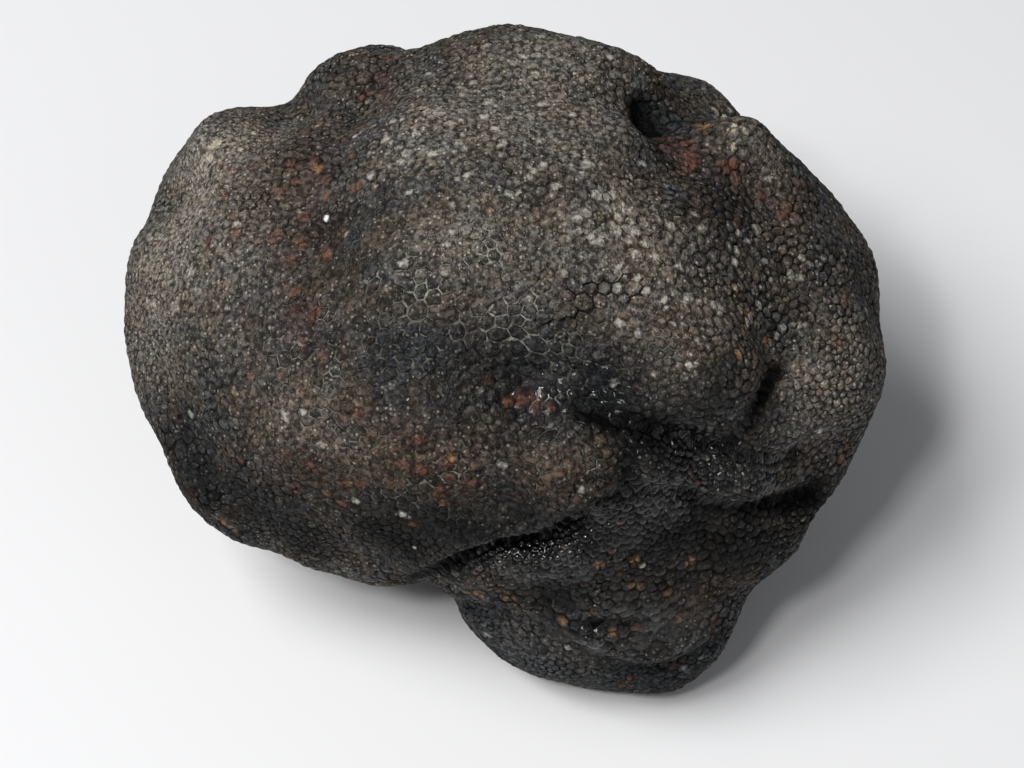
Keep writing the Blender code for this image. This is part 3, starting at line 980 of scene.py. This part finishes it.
    def make_cells(self, net: Object) -> Object:
        """Turns the net into its dual, with one many-sided cell around each of its corners.

        Args:
            net: The net.

        Returns:
            The same object, now of cells.
        """
        tree = bpy.data.node_groups.new("cells", "GeometryNodeTree")
        tree.interface.new_socket("Geometry", in_out="INPUT", socket_type="NodeSocketGeometry")
        tree.interface.new_socket("Geometry", in_out="OUTPUT", socket_type="NodeSocketGeometry")
        start = tree.nodes.new("NodeGroupInput")
        dual = tree.nodes.new("GeometryNodeDualMesh")
        end = tree.nodes.new("NodeGroupOutput")
        tree.links.new(start.outputs[0], dual.inputs[0])
        tree.links.new(dual.outputs[0], end.inputs[0])
        apply_modifier(net, "NODES", node_group=tree)
        bpy.data.node_groups.remove(tree)
        net.name = net.data.name = "truffle_skin"
        return net

    def split_cells(self, skin: Object) -> None:
        """Gives each cell a number, a shoulder inside its border and a top in its middle."""
        mesh = skin.data
        cell = mesh.attributes.new("cell", "INT", "FACE")
        cell.data.foreach_set("value", np.arange(len(mesh.polygons), dtype=np.int32))
        borders = len(mesh.vertices)
        select_only(skin)
        bpy.ops.object.mode_set(mode="EDIT")
        bpy.ops.mesh.select_mode(type="FACE")
        bpy.ops.mesh.select_all(action="SELECT")
        bpy.ops.mesh.inset(use_individual=True, thickness=self.first_inset * MM, depth=0.0)
        skin.update_from_editmode()
        shoulders = len(skin.data.vertices)
        bpy.ops.mesh.poke()
        bpy.ops.object.mode_set(mode="OBJECT")
        self.rings = [borders, shoulders, len(mesh.vertices)]

    def raise_warts(
        self, skin: Object, form: Object, ground: Ground, cracked: np.ndarray, chance: np.random.Generator
    ) -> None:
        """Gives each cell a groove around it, a shoulder and a low top, and stores what its finish reads.

        Args:
            skin: The cells.
            form: The form.
            ground: Its surface.
            cracked: 1 for each border point that a crack runs through.
            chance: Where chance comes from.
        """
        borders, shoulders, tops = self.rings
        owner = self.owners(skin.data)
        points = points_of(skin)
        centres = np.empty((tops - shoulders, 3))
        centres[owner[shoulders:]] = points[shoulders:]
        inner = owner[borders:shoulders]
        share = self.shoulder * chance.uniform(*self.shoulder_range, shoulders - borders)
        points[:borders] += chance.normal(0.0, self.wander * MM, (borders, 3))
        reaches = points[borders:shoulders] - centres[inner]
        points[borders:shoulders] = centres[inner] + reaches * share[:, None]
        points, normals = ground.settle(points)
        centres[owner[shoulders:]] = points[shoulders:]
        relief = self.relief + self.beading * self.zone_mask(points, form, Zone.BEADED)
        relief *= MM * (1 - self.dust_fill * self.zone_mask(points, form, Zone.DUSTY))
        patch = self.groove_patch * MM
        patchy = np.array([noise.noise(Vector(point) / patch) for point in points[:borders]])
        stray = chance.uniform(-self.groove_stray, self.groove_stray, borders)
        strength = np.clip(self.groove_mean + self.groove_swing * patchy + stray, 0.0, 1.0)
        lift = np.empty(len(points))
        groove = self.shallowest + (1 - self.shallowest) * strength
        lift[:borders] = -relief[:borders] * groove - cracked * self.crack_depth * MM
        rise = chance.uniform(*self.rise_range, len(centres))
        broad = self.zone_mask(points[borders:shoulders], form, Zone.BROAD)
        level = self.shoulder_level + self.flatness * broad
        lift[borders:shoulders] = relief[borders:shoulders] * rise[inner] * level
        lift[shoulders:] = relief[shoulders:] * rise[owner[shoulders:]]
        move_points(skin, points + normals * (lift - self.sink * MM)[:, None])
        across = np.ones(tops)
        across[:borders] = self.border_across * (1 - strength)
        across[borders:shoulders] = self.shoulder_across
        self.write(skin, "across", across, "POINT")
        self.write(skin, "cracked", np.pad(cracked, (0, tops - borders)), "POINT")
        # The finish darkens the skin by how sheltered it is: painted shade in the folds.
        sheltered, reach = np.empty(len(centres)), self.shelter_reach * MM
        sheltered[owner[shoulders:]] = ground.shelter(points[shoulders:], normals[shoulders:], reach)
        self.write(skin, "sheltered", self.shared(skin.data, sheltered), "POINT")
        self.write(skin, "chance", chance.random(len(centres))[self.cell_of_faces(skin.data)], "FACE")

    def find_cracked(self, skin: Object, form: Object) -> np.ndarray:
        """Finds the borders that cracks run along.

        Args:
            skin: The cells, before they are split.
            form: The form that the cracks' routes lie on.

        Returns:
            1 for each cracked border point and 0 for any other.
        """
        points = points_of(skin)
        nearby = [[] for _ in points]
        for edge in skin.data.edges:
            first, second = edge.vertices
            length = float(np.linalg.norm(points[first] - points[second]))
            nearby[first].append((second, length))
            nearby[second].append((first, length))
        cracked = np.zeros(len(points))
        for pixels in CRACKS:
            places = self.eye.seen_points(form, pixels)
            stops = [int(((points - place) ** 2).sum(axis=1).argmin()) for place in places]
            for start, end in zip(stops[:-1], stops[1:]):
                cracked[self.shortest_way(nearby, start, end)] = 1.0
        return cracked

    def shortest_way(self, nearby: list[list[tuple[int, float]]], start: int, end: int) -> list[int]:
        """Finds the shortest way along borders from one point to another.

        Args:
            nearby: Each point's neighbours and how far away they are.
            start: The first point.
            end: The last point.

        Returns:
            The points on the way.
        """
        best, came_from, waiting = {start: 0.0}, {}, [(0.0, start)]
        while waiting:
            length, point = heapq.heappop(waiting)
            if point == end:
                break
            for neighbour, step in nearby[point]:
                if length + step < best.get(neighbour, math.inf):
                    best[neighbour], came_from[neighbour] = length + step, point
                    heapq.heappush(waiting, (length + step, neighbour))
        way = [end]
        while way[-1] != start:
            way.append(came_from[way[-1]])
        return way

    def cell_of_faces(self, mesh: bpy.types.Mesh) -> np.ndarray:
        """Reads which cell each face belongs to."""
        cells = np.empty(len(mesh.polygons), dtype=np.int32)
        mesh.attributes["cell"].data.foreach_get("value", cells)
        return cells

    def corners(self, mesh: bpy.types.Mesh) -> tuple[np.ndarray, np.ndarray]:
        """Reads the point and the cell of each corner of a face."""
        points = np.empty(len(mesh.loops), dtype=np.int32)
        mesh.loops.foreach_get("vertex_index", points)
        sides = np.empty(len(mesh.polygons), dtype=np.int32)
        mesh.polygons.foreach_get("loop_total", sides)
        return points, np.repeat(self.cell_of_faces(mesh), sides)

    def owners(self, mesh: bpy.types.Mesh) -> np.ndarray:
        """Finds the cell that each point belongs to. A border point has one of its cells."""
        points, cells = self.corners(mesh)
        owner = np.zeros(len(mesh.vertices), dtype=np.int32)
        owner[points] = cells
        return owner

    def shared(self, mesh: bpy.types.Mesh, values: np.ndarray) -> np.ndarray:
        """Spreads a value of each cell over the points, so that it changes smoothly across borders."""
        points, cells = self.corners(mesh)
        return np.bincount(points, weights=values[cells]) / np.bincount(points)

    def write(self, skin: Object, name: str, values: np.ndarray, domain: str) -> None:
        """Stores one number for each point or face under a name that the finish reads."""
        attribute = skin.data.attributes.new(name, "FLOAT", domain)
        attribute.data.foreach_set("value", np.asarray(values, dtype=np.float32))

    def zone_mask(self, points: np.ndarray, form: Object, zone: Zone) -> np.ndarray:
        """Works out how much of a zone there is at each point.

        Args:
            points: The points, one row each.
            form: The form that the zone's patches lie on.
            zone: The zone.

        Returns:
            A number from 0 to 1 for each point.
        """
        bare = np.ones(len(points))
        for patch in ZONES[zone]:
            centre = self.eye.seen_point(form, patch.place)
            if centre is None:
                log.info("%s patch at %s is beside the form", zone.value, patch.place)
                continue
            bare *= 1 - patch.strength * nearness(points, centre, patch.radius * MM)
        return 1 - bare

    def mark_zones(self, skin: Object, form: Object) -> None:
        """Stores every zone at every point of the skin."""
        points = points_of(skin)
        for zone in Zone:
            self.write(skin, zone.value, self.zone_mask(points, form, zone), "POINT")

    # Painted shade: a dark line along the seam of each crease that its lip closes.
    def paint_seam_shade(self, skin: Object, form: Object) -> None:
        """Stores how near each point is to the seam of a crease that is closed by its lip."""
        points = points_of(skin)
        seam = np.zeros(len(points))
        closed = [crease for crease in CREASES.values() if crease.overhang > 0]
        for crease in closed:
            route = self.grower.route_on(form, crease.route)
            distance, inward, above, _ = self.grower.nearest_on_route(points, route)
            offset = above + self.seam_drop * crease.overhang * MM
            share = np.clip(inward / (self.seam_taper * MM), 0, 1) * min(1, crease.depth / self.seam_depth)
            share *= distance < self.seam_reach * MM
            np.maximum(seam, share * np.exp(-((offset / (self.seam_width * MM)) ** 2)), out=seam)
        self.write(skin, "seam", seam, "POINT")

    def mark_spots(self, skin: Object, form: Object, chance: np.random.Generator) -> None:
        """Stores the blots of colour that show through the skin, each around the top of a wart.

        Args:
            skin: The skin.
            form: The form that the blots' pixels lie on.
            chance: Where chance comes from.
        """
        points = points_of(skin)
        warts = points[self.rings[1] :]
        for spot, blots in SPOTS.items():
            likely = blots.anywhere + blots.in_zone * self.zone_mask(warts, form, blots.zone)
            places = warts[chance.random(len(warts)) < likely]
            strengths = chance.uniform(*self.blot_strengths, len(places))
            seen = self.eye.seen_points(form, blots.places)
            places = np.concatenate([places, seen])
            strengths = np.concatenate([strengths, chance.uniform(*self.seen_blot_strengths, len(seen))])
            marked = np.zeros(len(points))
            for place, strength in zip(places, strengths):
                radius = blots.radius * MM * chance.uniform(*self.blot_sizes)
                np.maximum(marked, strength * nearness(points, place, radius), out=marked)
            self.write(skin, spot.value, marked, "POINT")

    def rest_on_flat_spot(self, skin: Object) -> None:
        """Moves the grown truffle over the origin and presses its lowest part flat."""
        points = points_of(skin) + np.array(self.eye.settling) * MM
        points[:, 2] = np.maximum(points[:, 2], 0)
        move_points(skin, points)


class Wire:
    """A node's output, with the arithmetic that adds Math nodes."""

    def __init__(self, board: "Board", socket: bpy.types.NodeSocket) -> None:
        """Holds a socket of a board."""
        self.board = board
        self.socket = socket

    def math(self, operation: str, *values: "Wire | float") -> "Wire":
        """Adds a Math node.

        Args:
            operation: The node's operation.
            *values: What goes into it.

        Returns:
            Its output.
        """
        return self.board.node("ShaderNodeMath", {"operation": operation}, dict(enumerate(values)))

    def __add__(self, other: "Wire | float") -> "Wire":
        """Adds."""
        return self.math("ADD", self, other)

    __radd__ = __add__

    def __sub__(self, other: "Wire | float") -> "Wire":
        """Subtracts."""
        return self.math("SUBTRACT", self, other)

    def __rsub__(self, other: "Wire | float") -> "Wire":
        """Subtracts from a number."""
        return self.math("SUBTRACT", other, self)

    def __mul__(self, other: "Wire | float") -> "Wire":
        """Multiplies."""
        return self.math("MULTIPLY", self, other)

    __rmul__ = __mul__

    def at_most(self, limit: float) -> "Wire":
        """Holds it down to a limit."""
        return self.math("MINIMUM", self, limit)

    def beside(self, output: int | str) -> "Wire":
        """Reads another output of the same node."""
        return Wire(self.board, self.socket.node.outputs[output])


class Board:
    """A material's board of nodes."""

    def __init__(self, name: str) -> None:
        """Makes a material with a Principled shader.

        Args:
            name: The material's name.
        """
        self.material = bpy.data.materials.new(name)
        self.material.use_nodes = True
        self.tree = self.material.node_tree
        self.shader = self.tree.nodes["Principled BSDF"]

    def node(self, kind: str, settings: dict, inputs: dict, output: int | str = 0) -> Wire:
        """Adds any node.

        Args:
            kind: The node's type.
            settings: Its settings, which are set first.
            inputs: Values or wires for its sockets, by name or number.
            output: The socket to read.

        Returns:
            That output.
        """
        made = self.tree.nodes.new(kind)
        for name, value in settings.items():
            setattr(made, name, value)
        for name, value in inputs.items():
            self.feed(made.inputs[name], value)
        return Wire(self, made.outputs[output])

    def feed(self, socket: bpy.types.NodeSocket, value: "Wire | float | Sequence[float]") -> None:
        """Links a wire to a socket, or sets the socket's own value."""
        if isinstance(value, Wire):
            self.tree.links.new(value.socket, socket)
        elif isinstance(value, tuple) and len(value) == 3 and socket.type == "RGBA":
            socket.default_value = (*value, 1.0)
        else:
            socket.default_value = value

    def shade(self, name: str, value: "Wire | float | Sequence[float]") -> None:
        """Feeds one of the shader's sockets."""
        self.feed(self.shader.inputs[name], value)

    def place(self) -> Wire:
        """Reads where on the object a point is, in metres."""
        return self.node("ShaderNodeTexCoord", {}, {}, "Object")

    def attribute(self, name: str) -> Wire:
        """Reads a number stored on the mesh."""
        return self.node("ShaderNodeAttribute", {"attribute_name": name}, {}, "Fac")

    def noise(self, grain: float, detail: float, stretch: Triple = (1.0, 1.0, 1.0)) -> Wire:
        """Makes a cloudy pattern.

        Args:
            grain: Size of its clouds, in millimetres.
            detail: How many finer layers it has.
            stretch: How much it is packed along each axis.

        Returns:
            A number around one half.
        """
        place = self.place()
        if stretch != (1.0, 1.0, 1.0):
            place = self.node("ShaderNodeMapping", {}, {"Vector": place, "Scale": stretch})
        inputs = {"Vector": place, "Scale": 1 / (grain * MM), "Detail": detail}
        return self.node("ShaderNodeTexNoise", {}, inputs)

    def step(self, value: Wire, low: float, high: float) -> Wire:
        """Rises smoothly from 0 at low to 1 at high, or falls where low is above high.

        Args:
            value: What is stepped.
            low: Where the step starts.
            high: Where it ends.

        Returns:
            A number from 0 to 1.
        """
        settings = {"interpolation_type": "SMOOTHSTEP", "clamp": True}
        if low < high:
            inputs = {"Value": value, "From Min": low, "From Max": high, "To Min": 0.0, "To Max": 1.0}
        else:
            inputs = {"Value": value, "From Min": high, "From Max": low, "To Min": 1.0, "To Max": 0.0}
        return self.node("ShaderNodeMapRange", settings, inputs)

    def mix(self, share: "Wire | float", first: "Wire | Triple", second: "Wire | Triple") -> Wire:
        """Mixes two colours.

        Args:
            share: How much of the second there is.
            first: The first colour.
            second: The second colour.

        Returns:
            The mixed colour.
        """
        settings = {"data_type": "RGBA", "blend_type": "MIX", "clamp_factor": True}
        return self.node("ShaderNodeMix", settings, {0: share, 6: first, 7: second}, 2)

    def scale(self, colour: "Wire | Triple", factor: Wire) -> Wire:
        """Makes a colour brighter or darker by a factor."""
        return self.node("ShaderNodeVectorMath", {"operation": "SCALE"}, {0: colour, "Scale": factor})


class SkinBoard(Board):
    """The skin's board of nodes, with the marks stored on its mesh and the patterns that run all over it.

    Attributes:
        grain_size: Size of the fine grain, in millimetres, as all sizes here are.
        finest_size: Size of a finer grain that only the relief has.
        cloud_size: Size of the slow clouds.
        drift_size: Size of the drifts of dust.
        stray_size: Size of the bays in ragged edges.
        wrinkle_size: Length of the streaks on the foot's wall.
        wrinkle_packing: How much those are packed along each axis.
        speck_spacing: How far apart the large pale grains are.
        dot_spacing: How far apart the small pale grains are.
        grain_edge: Where a pale grain starts to show and where it shows in full, as shares of its spacing.
        zones: How much of each zone there is.
        spots: How much of a blot of each colour there is.
        chance: A number by chance for each wart.
        cracked: How cracked the borders are.
        sheltered: How enclosed the skin is by the truffle's folds.
        fold_shade: Painted shade in the folds: how enclosed the skin is and how near the seam of a crease it
            is, added up to 1 at most.
        grain: A fine grain, from 0 to 1.
        cloud: Slow clouds, from 0 to 1.
        wrinkle: Streaks that run around the foot's wall, from 0 to 1.
        stray: A number around 0 that makes edges ragged.
        ragged: The way from a wart's border to its top, made ragged.
        border: How much of a dark border there is, partly painted shade in the grooves between the warts.
        dusty: How dusty the skin is.
        thin: How few pale grains there are, fewer where the skin is sheltered or blackest, which is partly
            painted shade.
        specks: How much of a large pale grain there is; in the colour these are partly painted glints.
        hue: A number by chance for each large grain.
        dots: How much of a small pale grain there is; in the colour these are partly painted glints.
        wet_grains: How much of a damp grain there is.
    """

    grain_size: float = 0.34
    finest_size: float = 0.13
    cloud_size: float = 2.4
    drift_size: float = 7.0
    stray_size: float = 0.45
    wrinkle_size: float = 0.30
    wrinkle_packing: Triple = (1.0, 1.0, 3.5)
    speck_spacing: float = 0.26
    dot_spacing: float = 0.15
    grain_edge: Pair = (0.52, 0.20)

    def __init__(self) -> None:
        """Reads the marks and makes the patterns."""
        super().__init__("truffle_skin")
        self.zones = {zone: self.attribute(zone.value) for zone in Zone}
        self.spots = {spot: self.attribute(spot.value) for spot in Spot}
        self.chance = self.attribute("chance")
        self.cracked = self.step(self.attribute("cracked"), 0.30, 0.85)
        self.sheltered = self.step(self.attribute("sheltered"), 0.14, 0.52)
        self.fold_shade = (self.sheltered + self.attribute("seam")).at_most(1.0)
        self.grain = self.step(self.noise(self.grain_size, 3.0), 0.36, 0.64)
        self.cloud = self.step(self.noise(self.cloud_size, 4.0), 0.40, 0.60)
        self.wrinkle = self.step(self.noise(self.wrinkle_size, 2.0, self.wrinkle_packing), 0.38, 0.62)
        self.stray = self.noise(self.stray_size, 2.0) - 0.5
        self.ragged = self.attribute("across") + self.stray * 0.7
        self.border = self.step(self.ragged, 0.44, 0.12)
        drift = self.step(self.noise(self.drift_size, 3.0), 0.45, 0.62)
        self.dusty = self.zones[Zone.DUSTY] + drift * 0.18
        # Fewer pale grains and less dust in the folds and the blackest patches, partly as painted shade.
        thin = self.sheltered + self.zones[Zone.SOOT_AND_SHADE] * 0.9 + self.zones[Zone.WALL] * 0.3
        thin = thin + self.zones[Zone.RUSTY] * 0.35
        self.thin = thin + self.spots[Spot.RUST] * 0.8 + self.spots[Spot.OCHRE] * 0.8
        self.specks, self.hue = self.scatter(self.speck_spacing, 0.58)
        self.dots, _ = self.scatter(self.dot_spacing, 0.62)
        self.wet_grains = self.zones[Zone.DAMP] * (self.specks + self.dots)

    def scatter(self, spacing: float, rare: float) -> tuple[Wire, Wire]:
        """Scatters grains.

        Args:
            spacing: How far apart they are, in millimetres.
            rare: The share of them that doesn't show.

        Returns:
            How much of a grain there is, and a number by chance for it.
        """
        inputs = {"Vector": self.place(), "Scale": 1 / (spacing * MM)}
        near = self.node("ShaderNodeTexVoronoi", {}, inputs)
        picked = self.node("ShaderNodeSeparateColor", {}, {0: near.beside("Color")})
        return self.step(near, *self.grain_edge) * self.step(picked, rare, 1.0), picked.beside(1)


@dataclass(frozen=True)
class SkinFinish:
    """The truffle's skin: dark, matte and grainy, damp in its folds, with blots, pale grains and dust.

    Attributes:
        brown_black: The skin's main colour.
        slate_black: Its colour in the clouds.
        slate: Its colour where it is blue-black.
        soot_black_and_shade: Its colour where it is the deepest black, which is partly painted shade.
        tan: Its colour where it is brown.
        dark_rust: Its colour around the blots of rust.
        wall: Its colour on the foot's wall.
        dust: The dust's colour.
        pale_grain_and_glint: The colour of most grains, which are partly painted glints on the wart tops.
        yellow_grain: The colour of some of them.
        blue_grain_and_glint: Their colour on slate, partly painted bluish highlights, and that of the
            streaks on the foot's wall.
        net: The colour of the pale net.
        matte: Roughness of the dry skin.
        wet: Roughness of the damp skin.
        sheen: How much the skin mirrors.
        coat_roughness: Roughness of the damp coat.
        coat_ior: How strongly the coat bends light.
        bump: How high the fine grains stand, in millimetres.
    """

    brown_black: Triple = (0.052, 0.040, 0.031)
    slate_black: Triple = (0.034, 0.036, 0.037)
    slate: Triple = (0.013, 0.017, 0.021)
    soot_black_and_shade: Triple = (0.0045, 0.0047, 0.0046)
    tan: Triple = (0.075, 0.042, 0.024)
    dark_rust: Triple = (0.066, 0.028, 0.020)
    wall: Triple = (0.036, 0.039, 0.042)
    dust: Triple = (0.41, 0.36, 0.30)
    pale_grain_and_glint: Triple = (0.56, 0.51, 0.43)
    yellow_grain: Triple = (0.40, 0.31, 0.17)
    blue_grain_and_glint: Triple = (0.19, 0.22, 0.245)
    net: Triple = (0.36, 0.35, 0.29)
    matte: float = 0.72
    wet: float = 0.22
    sheen: float = 0.11
    coat_roughness: float = 0.09
    coat_ior: float = 1.65
    bump: float = 0.11

    def make(self) -> bpy.types.Material:
        """Makes the material.

        Returns:
            The material.
        """
        board = SkinBoard()
        colour = self.dusted(board, self.blotted(board, self.grown_colour(board)))
        board.shade("Base Color", self.bordered(board, colour))
        self.set_gloss(board)
        self.set_relief(board)
        return board.material

    def grown_colour(self, board: SkinBoard) -> Wire:
        """Mixes the skin's own colour from its zones, a little different on each wart.

        Args:
            board: The skin's board.

        Returns:
            The colour.
        """
        zones, grain = board.zones, board.grain
        colour = board.mix(board.cloud, self.brown_black, self.slate_black)
        colour = board.mix(zones[Zone.SLATE], colour, self.slate)
        colour = board.mix(zones[Zone.TAN] * (0.35 + grain * 0.65), colour, self.tan)
        colour = board.mix(zones[Zone.RUSTY] * board.cloud * 0.6, colour, self.dark_rust)
        wall = board.mix(board.wrinkle * 0.35, self.wall, self.blue_grain_and_glint)
        colour = board.mix(zones[Zone.WALL] * (0.6 + board.wrinkle * 0.4), colour, wall)
        # The deepest black, partly painted shade in the creases and on the shaded lower side.
        colour = board.mix(zones[Zone.SOOT_AND_SHADE], colour, self.soot_black_and_shade)
        return board.scale(colour, (0.55 + board.chance * 0.9) * (0.45 + grain * 1.1))

    def blotted(self, board: SkinBoard, colour: Wire) -> Wire:
        """Lays the blots over a colour.

        Args:
            board: The skin's board.
            colour: The colour under them.

        Returns:
            The blotted colour.
        """
        mottle = 0.25 + board.grain * 0.65
        for spot, blots in SPOTS.items():
            share = board.step(board.spots[spot] + board.stray * blots.raggedness, blots.start, blots.full)
            colour = board.mix(share * mottle if blots.mottled else share, colour, blots.colour)
        return colour

    def dusted(self, board: SkinBoard, colour: Wire) -> Wire:
        """Lays pale grains and dust over a colour.

        Args:
            board: The skin's board.
            colour: The colour under them.

        Returns:
            The dusted colour.
        """
        zones, dusty, thin = board.zones, board.dusty, board.thin
        # Pale grains, partly painted glints on the wart tops, and bluish on slate as painted highlights.
        tint = board.mix(board.step(board.hue, 0.70, 0.90), self.pale_grain_and_glint, self.yellow_grain)
        tint = board.mix(zones[Zone.SLATE] + zones[Zone.WALL], tint, self.blue_grain_and_glint)
        colour = board.mix(board.specks * (0.42 + dusty * 0.6 - thin * 0.42), colour, tint)
        colour = board.mix(board.dots * (0.12 + dusty * 0.8 - thin * 0.2), colour, tint)
        return board.mix(dusty * (0.08 + board.grain * 0.50) * (1 - thin), colour, self.dust)

    def bordered(self, board: SkinBoard, colour: Wire) -> Wire:
        """Darkens the borders of the warts, the cracks and the folds, and draws the pale net.

        Args:
            board: The skin's board.
            colour: The colour without them.

        Returns:
            The finished colour.
        """
        zones = board.zones
        # Dark wart borders: partly their own colour, partly painted shade in the grooves between the warts.
        depth = 0.80 + zones[Zone.BEADED] * 0.15 - zones[Zone.DUSTY] * 0.6
        colour = board.scale(colour, 1 - board.border * depth)
        pale = board.step(board.ragged, 0.28, 0.09) * zones[Zone.NETTED] * (0.45 + board.cloud * 0.55)
        colour = board.mix(pale * 0.85, colour, self.net)
        # Painted shade: the skin is darkened in the folds and along the seams of the creases.
        return board.scale(colour, (1 - board.cracked * 0.85) * (1 - board.fold_shade * 0.93))

    def set_gloss(self, board: SkinBoard) -> None:
        """Makes the skin matte, with a damp coat in the folds and on single grains.

        Args:
            board: The skin's board.
        """
        zones = board.zones
        damp = zones[Zone.DAMP] + board.sheltered * 0.3
        board.shade("Roughness", self.matte - damp * board.grain * (self.matte - self.wet))
        board.shade("Specular IOR Level", self.sheen)
        coat = zones[Zone.DAMP] * (0.12 + board.chance * 0.58) + board.wet_grains * 0.3
        coat = coat + zones[Zone.BEADED] * board.chance * 0.12 + (1 - board.thin) * board.specks * 0.15
        board.shade("Coat Weight", coat)
        board.shade("Coat Roughness", self.coat_roughness)
        board.shade("Coat IOR", self.coat_ior)

    def set_relief(self, board: SkinBoard) -> None:
        """Roughens the skin with grains and wrinkles finer than its mesh.

        Args:
            board: The skin's board.
        """
        zones = board.zones
        relief = board.grain * 0.8 + board.specks * 0.5 + board.dots * 0.25
        relief = relief + board.noise(board.finest_size, 2.0) * 0.8
        relief = relief * (1 - zones[Zone.DAMP] * 0.5) + zones[Zone.WALL] * board.wrinkle * 1.5
        relief = relief + board.wet_grains * 0.4 - board.border * 0.5
        inputs = {"Strength": 1.0, "Distance": self.bump * MM, "Height": relief}
        board.shade("Normal", board.node("ShaderNodeBump", {}, inputs))


@dataclass(frozen=True)
class Lamp:
    """A square soft light, in metres and watts."""

    place: Triple
    side: float
    power: float

    def build(self, name: str, aim: Triple) -> None:
        """Makes the light.

        Args:
            name: Its name.
            aim: The point that it faces.
        """
        data = bpy.data.lights.new(name, "AREA")
        data.size, data.energy = self.side, self.power
        light = bpy.data.objects.new(name, data)
        bpy.context.scene.collection.objects.link(light)
        light.location = self.place
        light.rotation_euler = (Vector(aim) - light.location).to_track_quat("-Z", "Y").to_euler()


LAMPS = {
    "key": Lamp((-0.20, -0.07, 0.41), 0.22, 1.85),
    "lamp": Lamp((-0.11, -0.19, 0.38), 0.05, 0.45),
    "fill": Lamp((0.30, -0.30, 0.30), 0.40, 0.2),
}


@dataclass(frozen=True)
class Studio:
    """A plain pale floor, the lamps and a soft sky, in metres."""

    floor_size: float = 4.0
    floor_colour: Triple = (0.80, 0.80, 0.805)
    floor_roughness: float = 0.9
    aim: Triple = (0.0, 0.0, 0.015)
    sky: Triple = (0.92, 0.95, 1.0)
    sky_strength: float = 0.15

    def build(self) -> None:
        """Makes the floor, the lights and the sky."""
        deselect_all()
        bpy.ops.mesh.primitive_plane_add(size=self.floor_size)
        floor = bpy.context.object
        floor.name = "floor"
        board = Board("floor")
        board.shade("Base Color", self.floor_colour)
        board.shade("Roughness", self.floor_roughness)
        floor.data.materials.append(board.material)
        for name, lamp in LAMPS.items():
            lamp.build(name, self.aim)
        world = bpy.data.worlds.new("sky")
        world.use_nodes = True
        background = world.node_tree.nodes["Background"]
        background.inputs["Color"].default_value = (*self.sky, 1.0)
        background.inputs["Strength"].default_value = self.sky_strength
        bpy.context.scene.world = world


def main() -> None:
    """Builds the truffle's finished skin and the studio around it."""
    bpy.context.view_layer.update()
    deselect_all()
    eye = Eye()
    grower = TruffleForm(eye)
    skin = WartySkin(eye, grower).build(grower.build())
    skin.data.materials.clear()
    skin.data.materials.append(SkinFinish().make())
    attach(skin, "root")
    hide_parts("truffle")
    triangles = sum(len(face.vertices) - 2 for face in skin.data.polygons)
    log.info("%s: %d triangles", skin.name, triangles)
    Studio().build()
    eye.make_camera()
    bpy.context.scene.view_settings.view_transform = "Standard"


if __name__ == "__main__":
    logging.basicConfig(level=logging.INFO, format="%(message)s")
    main()
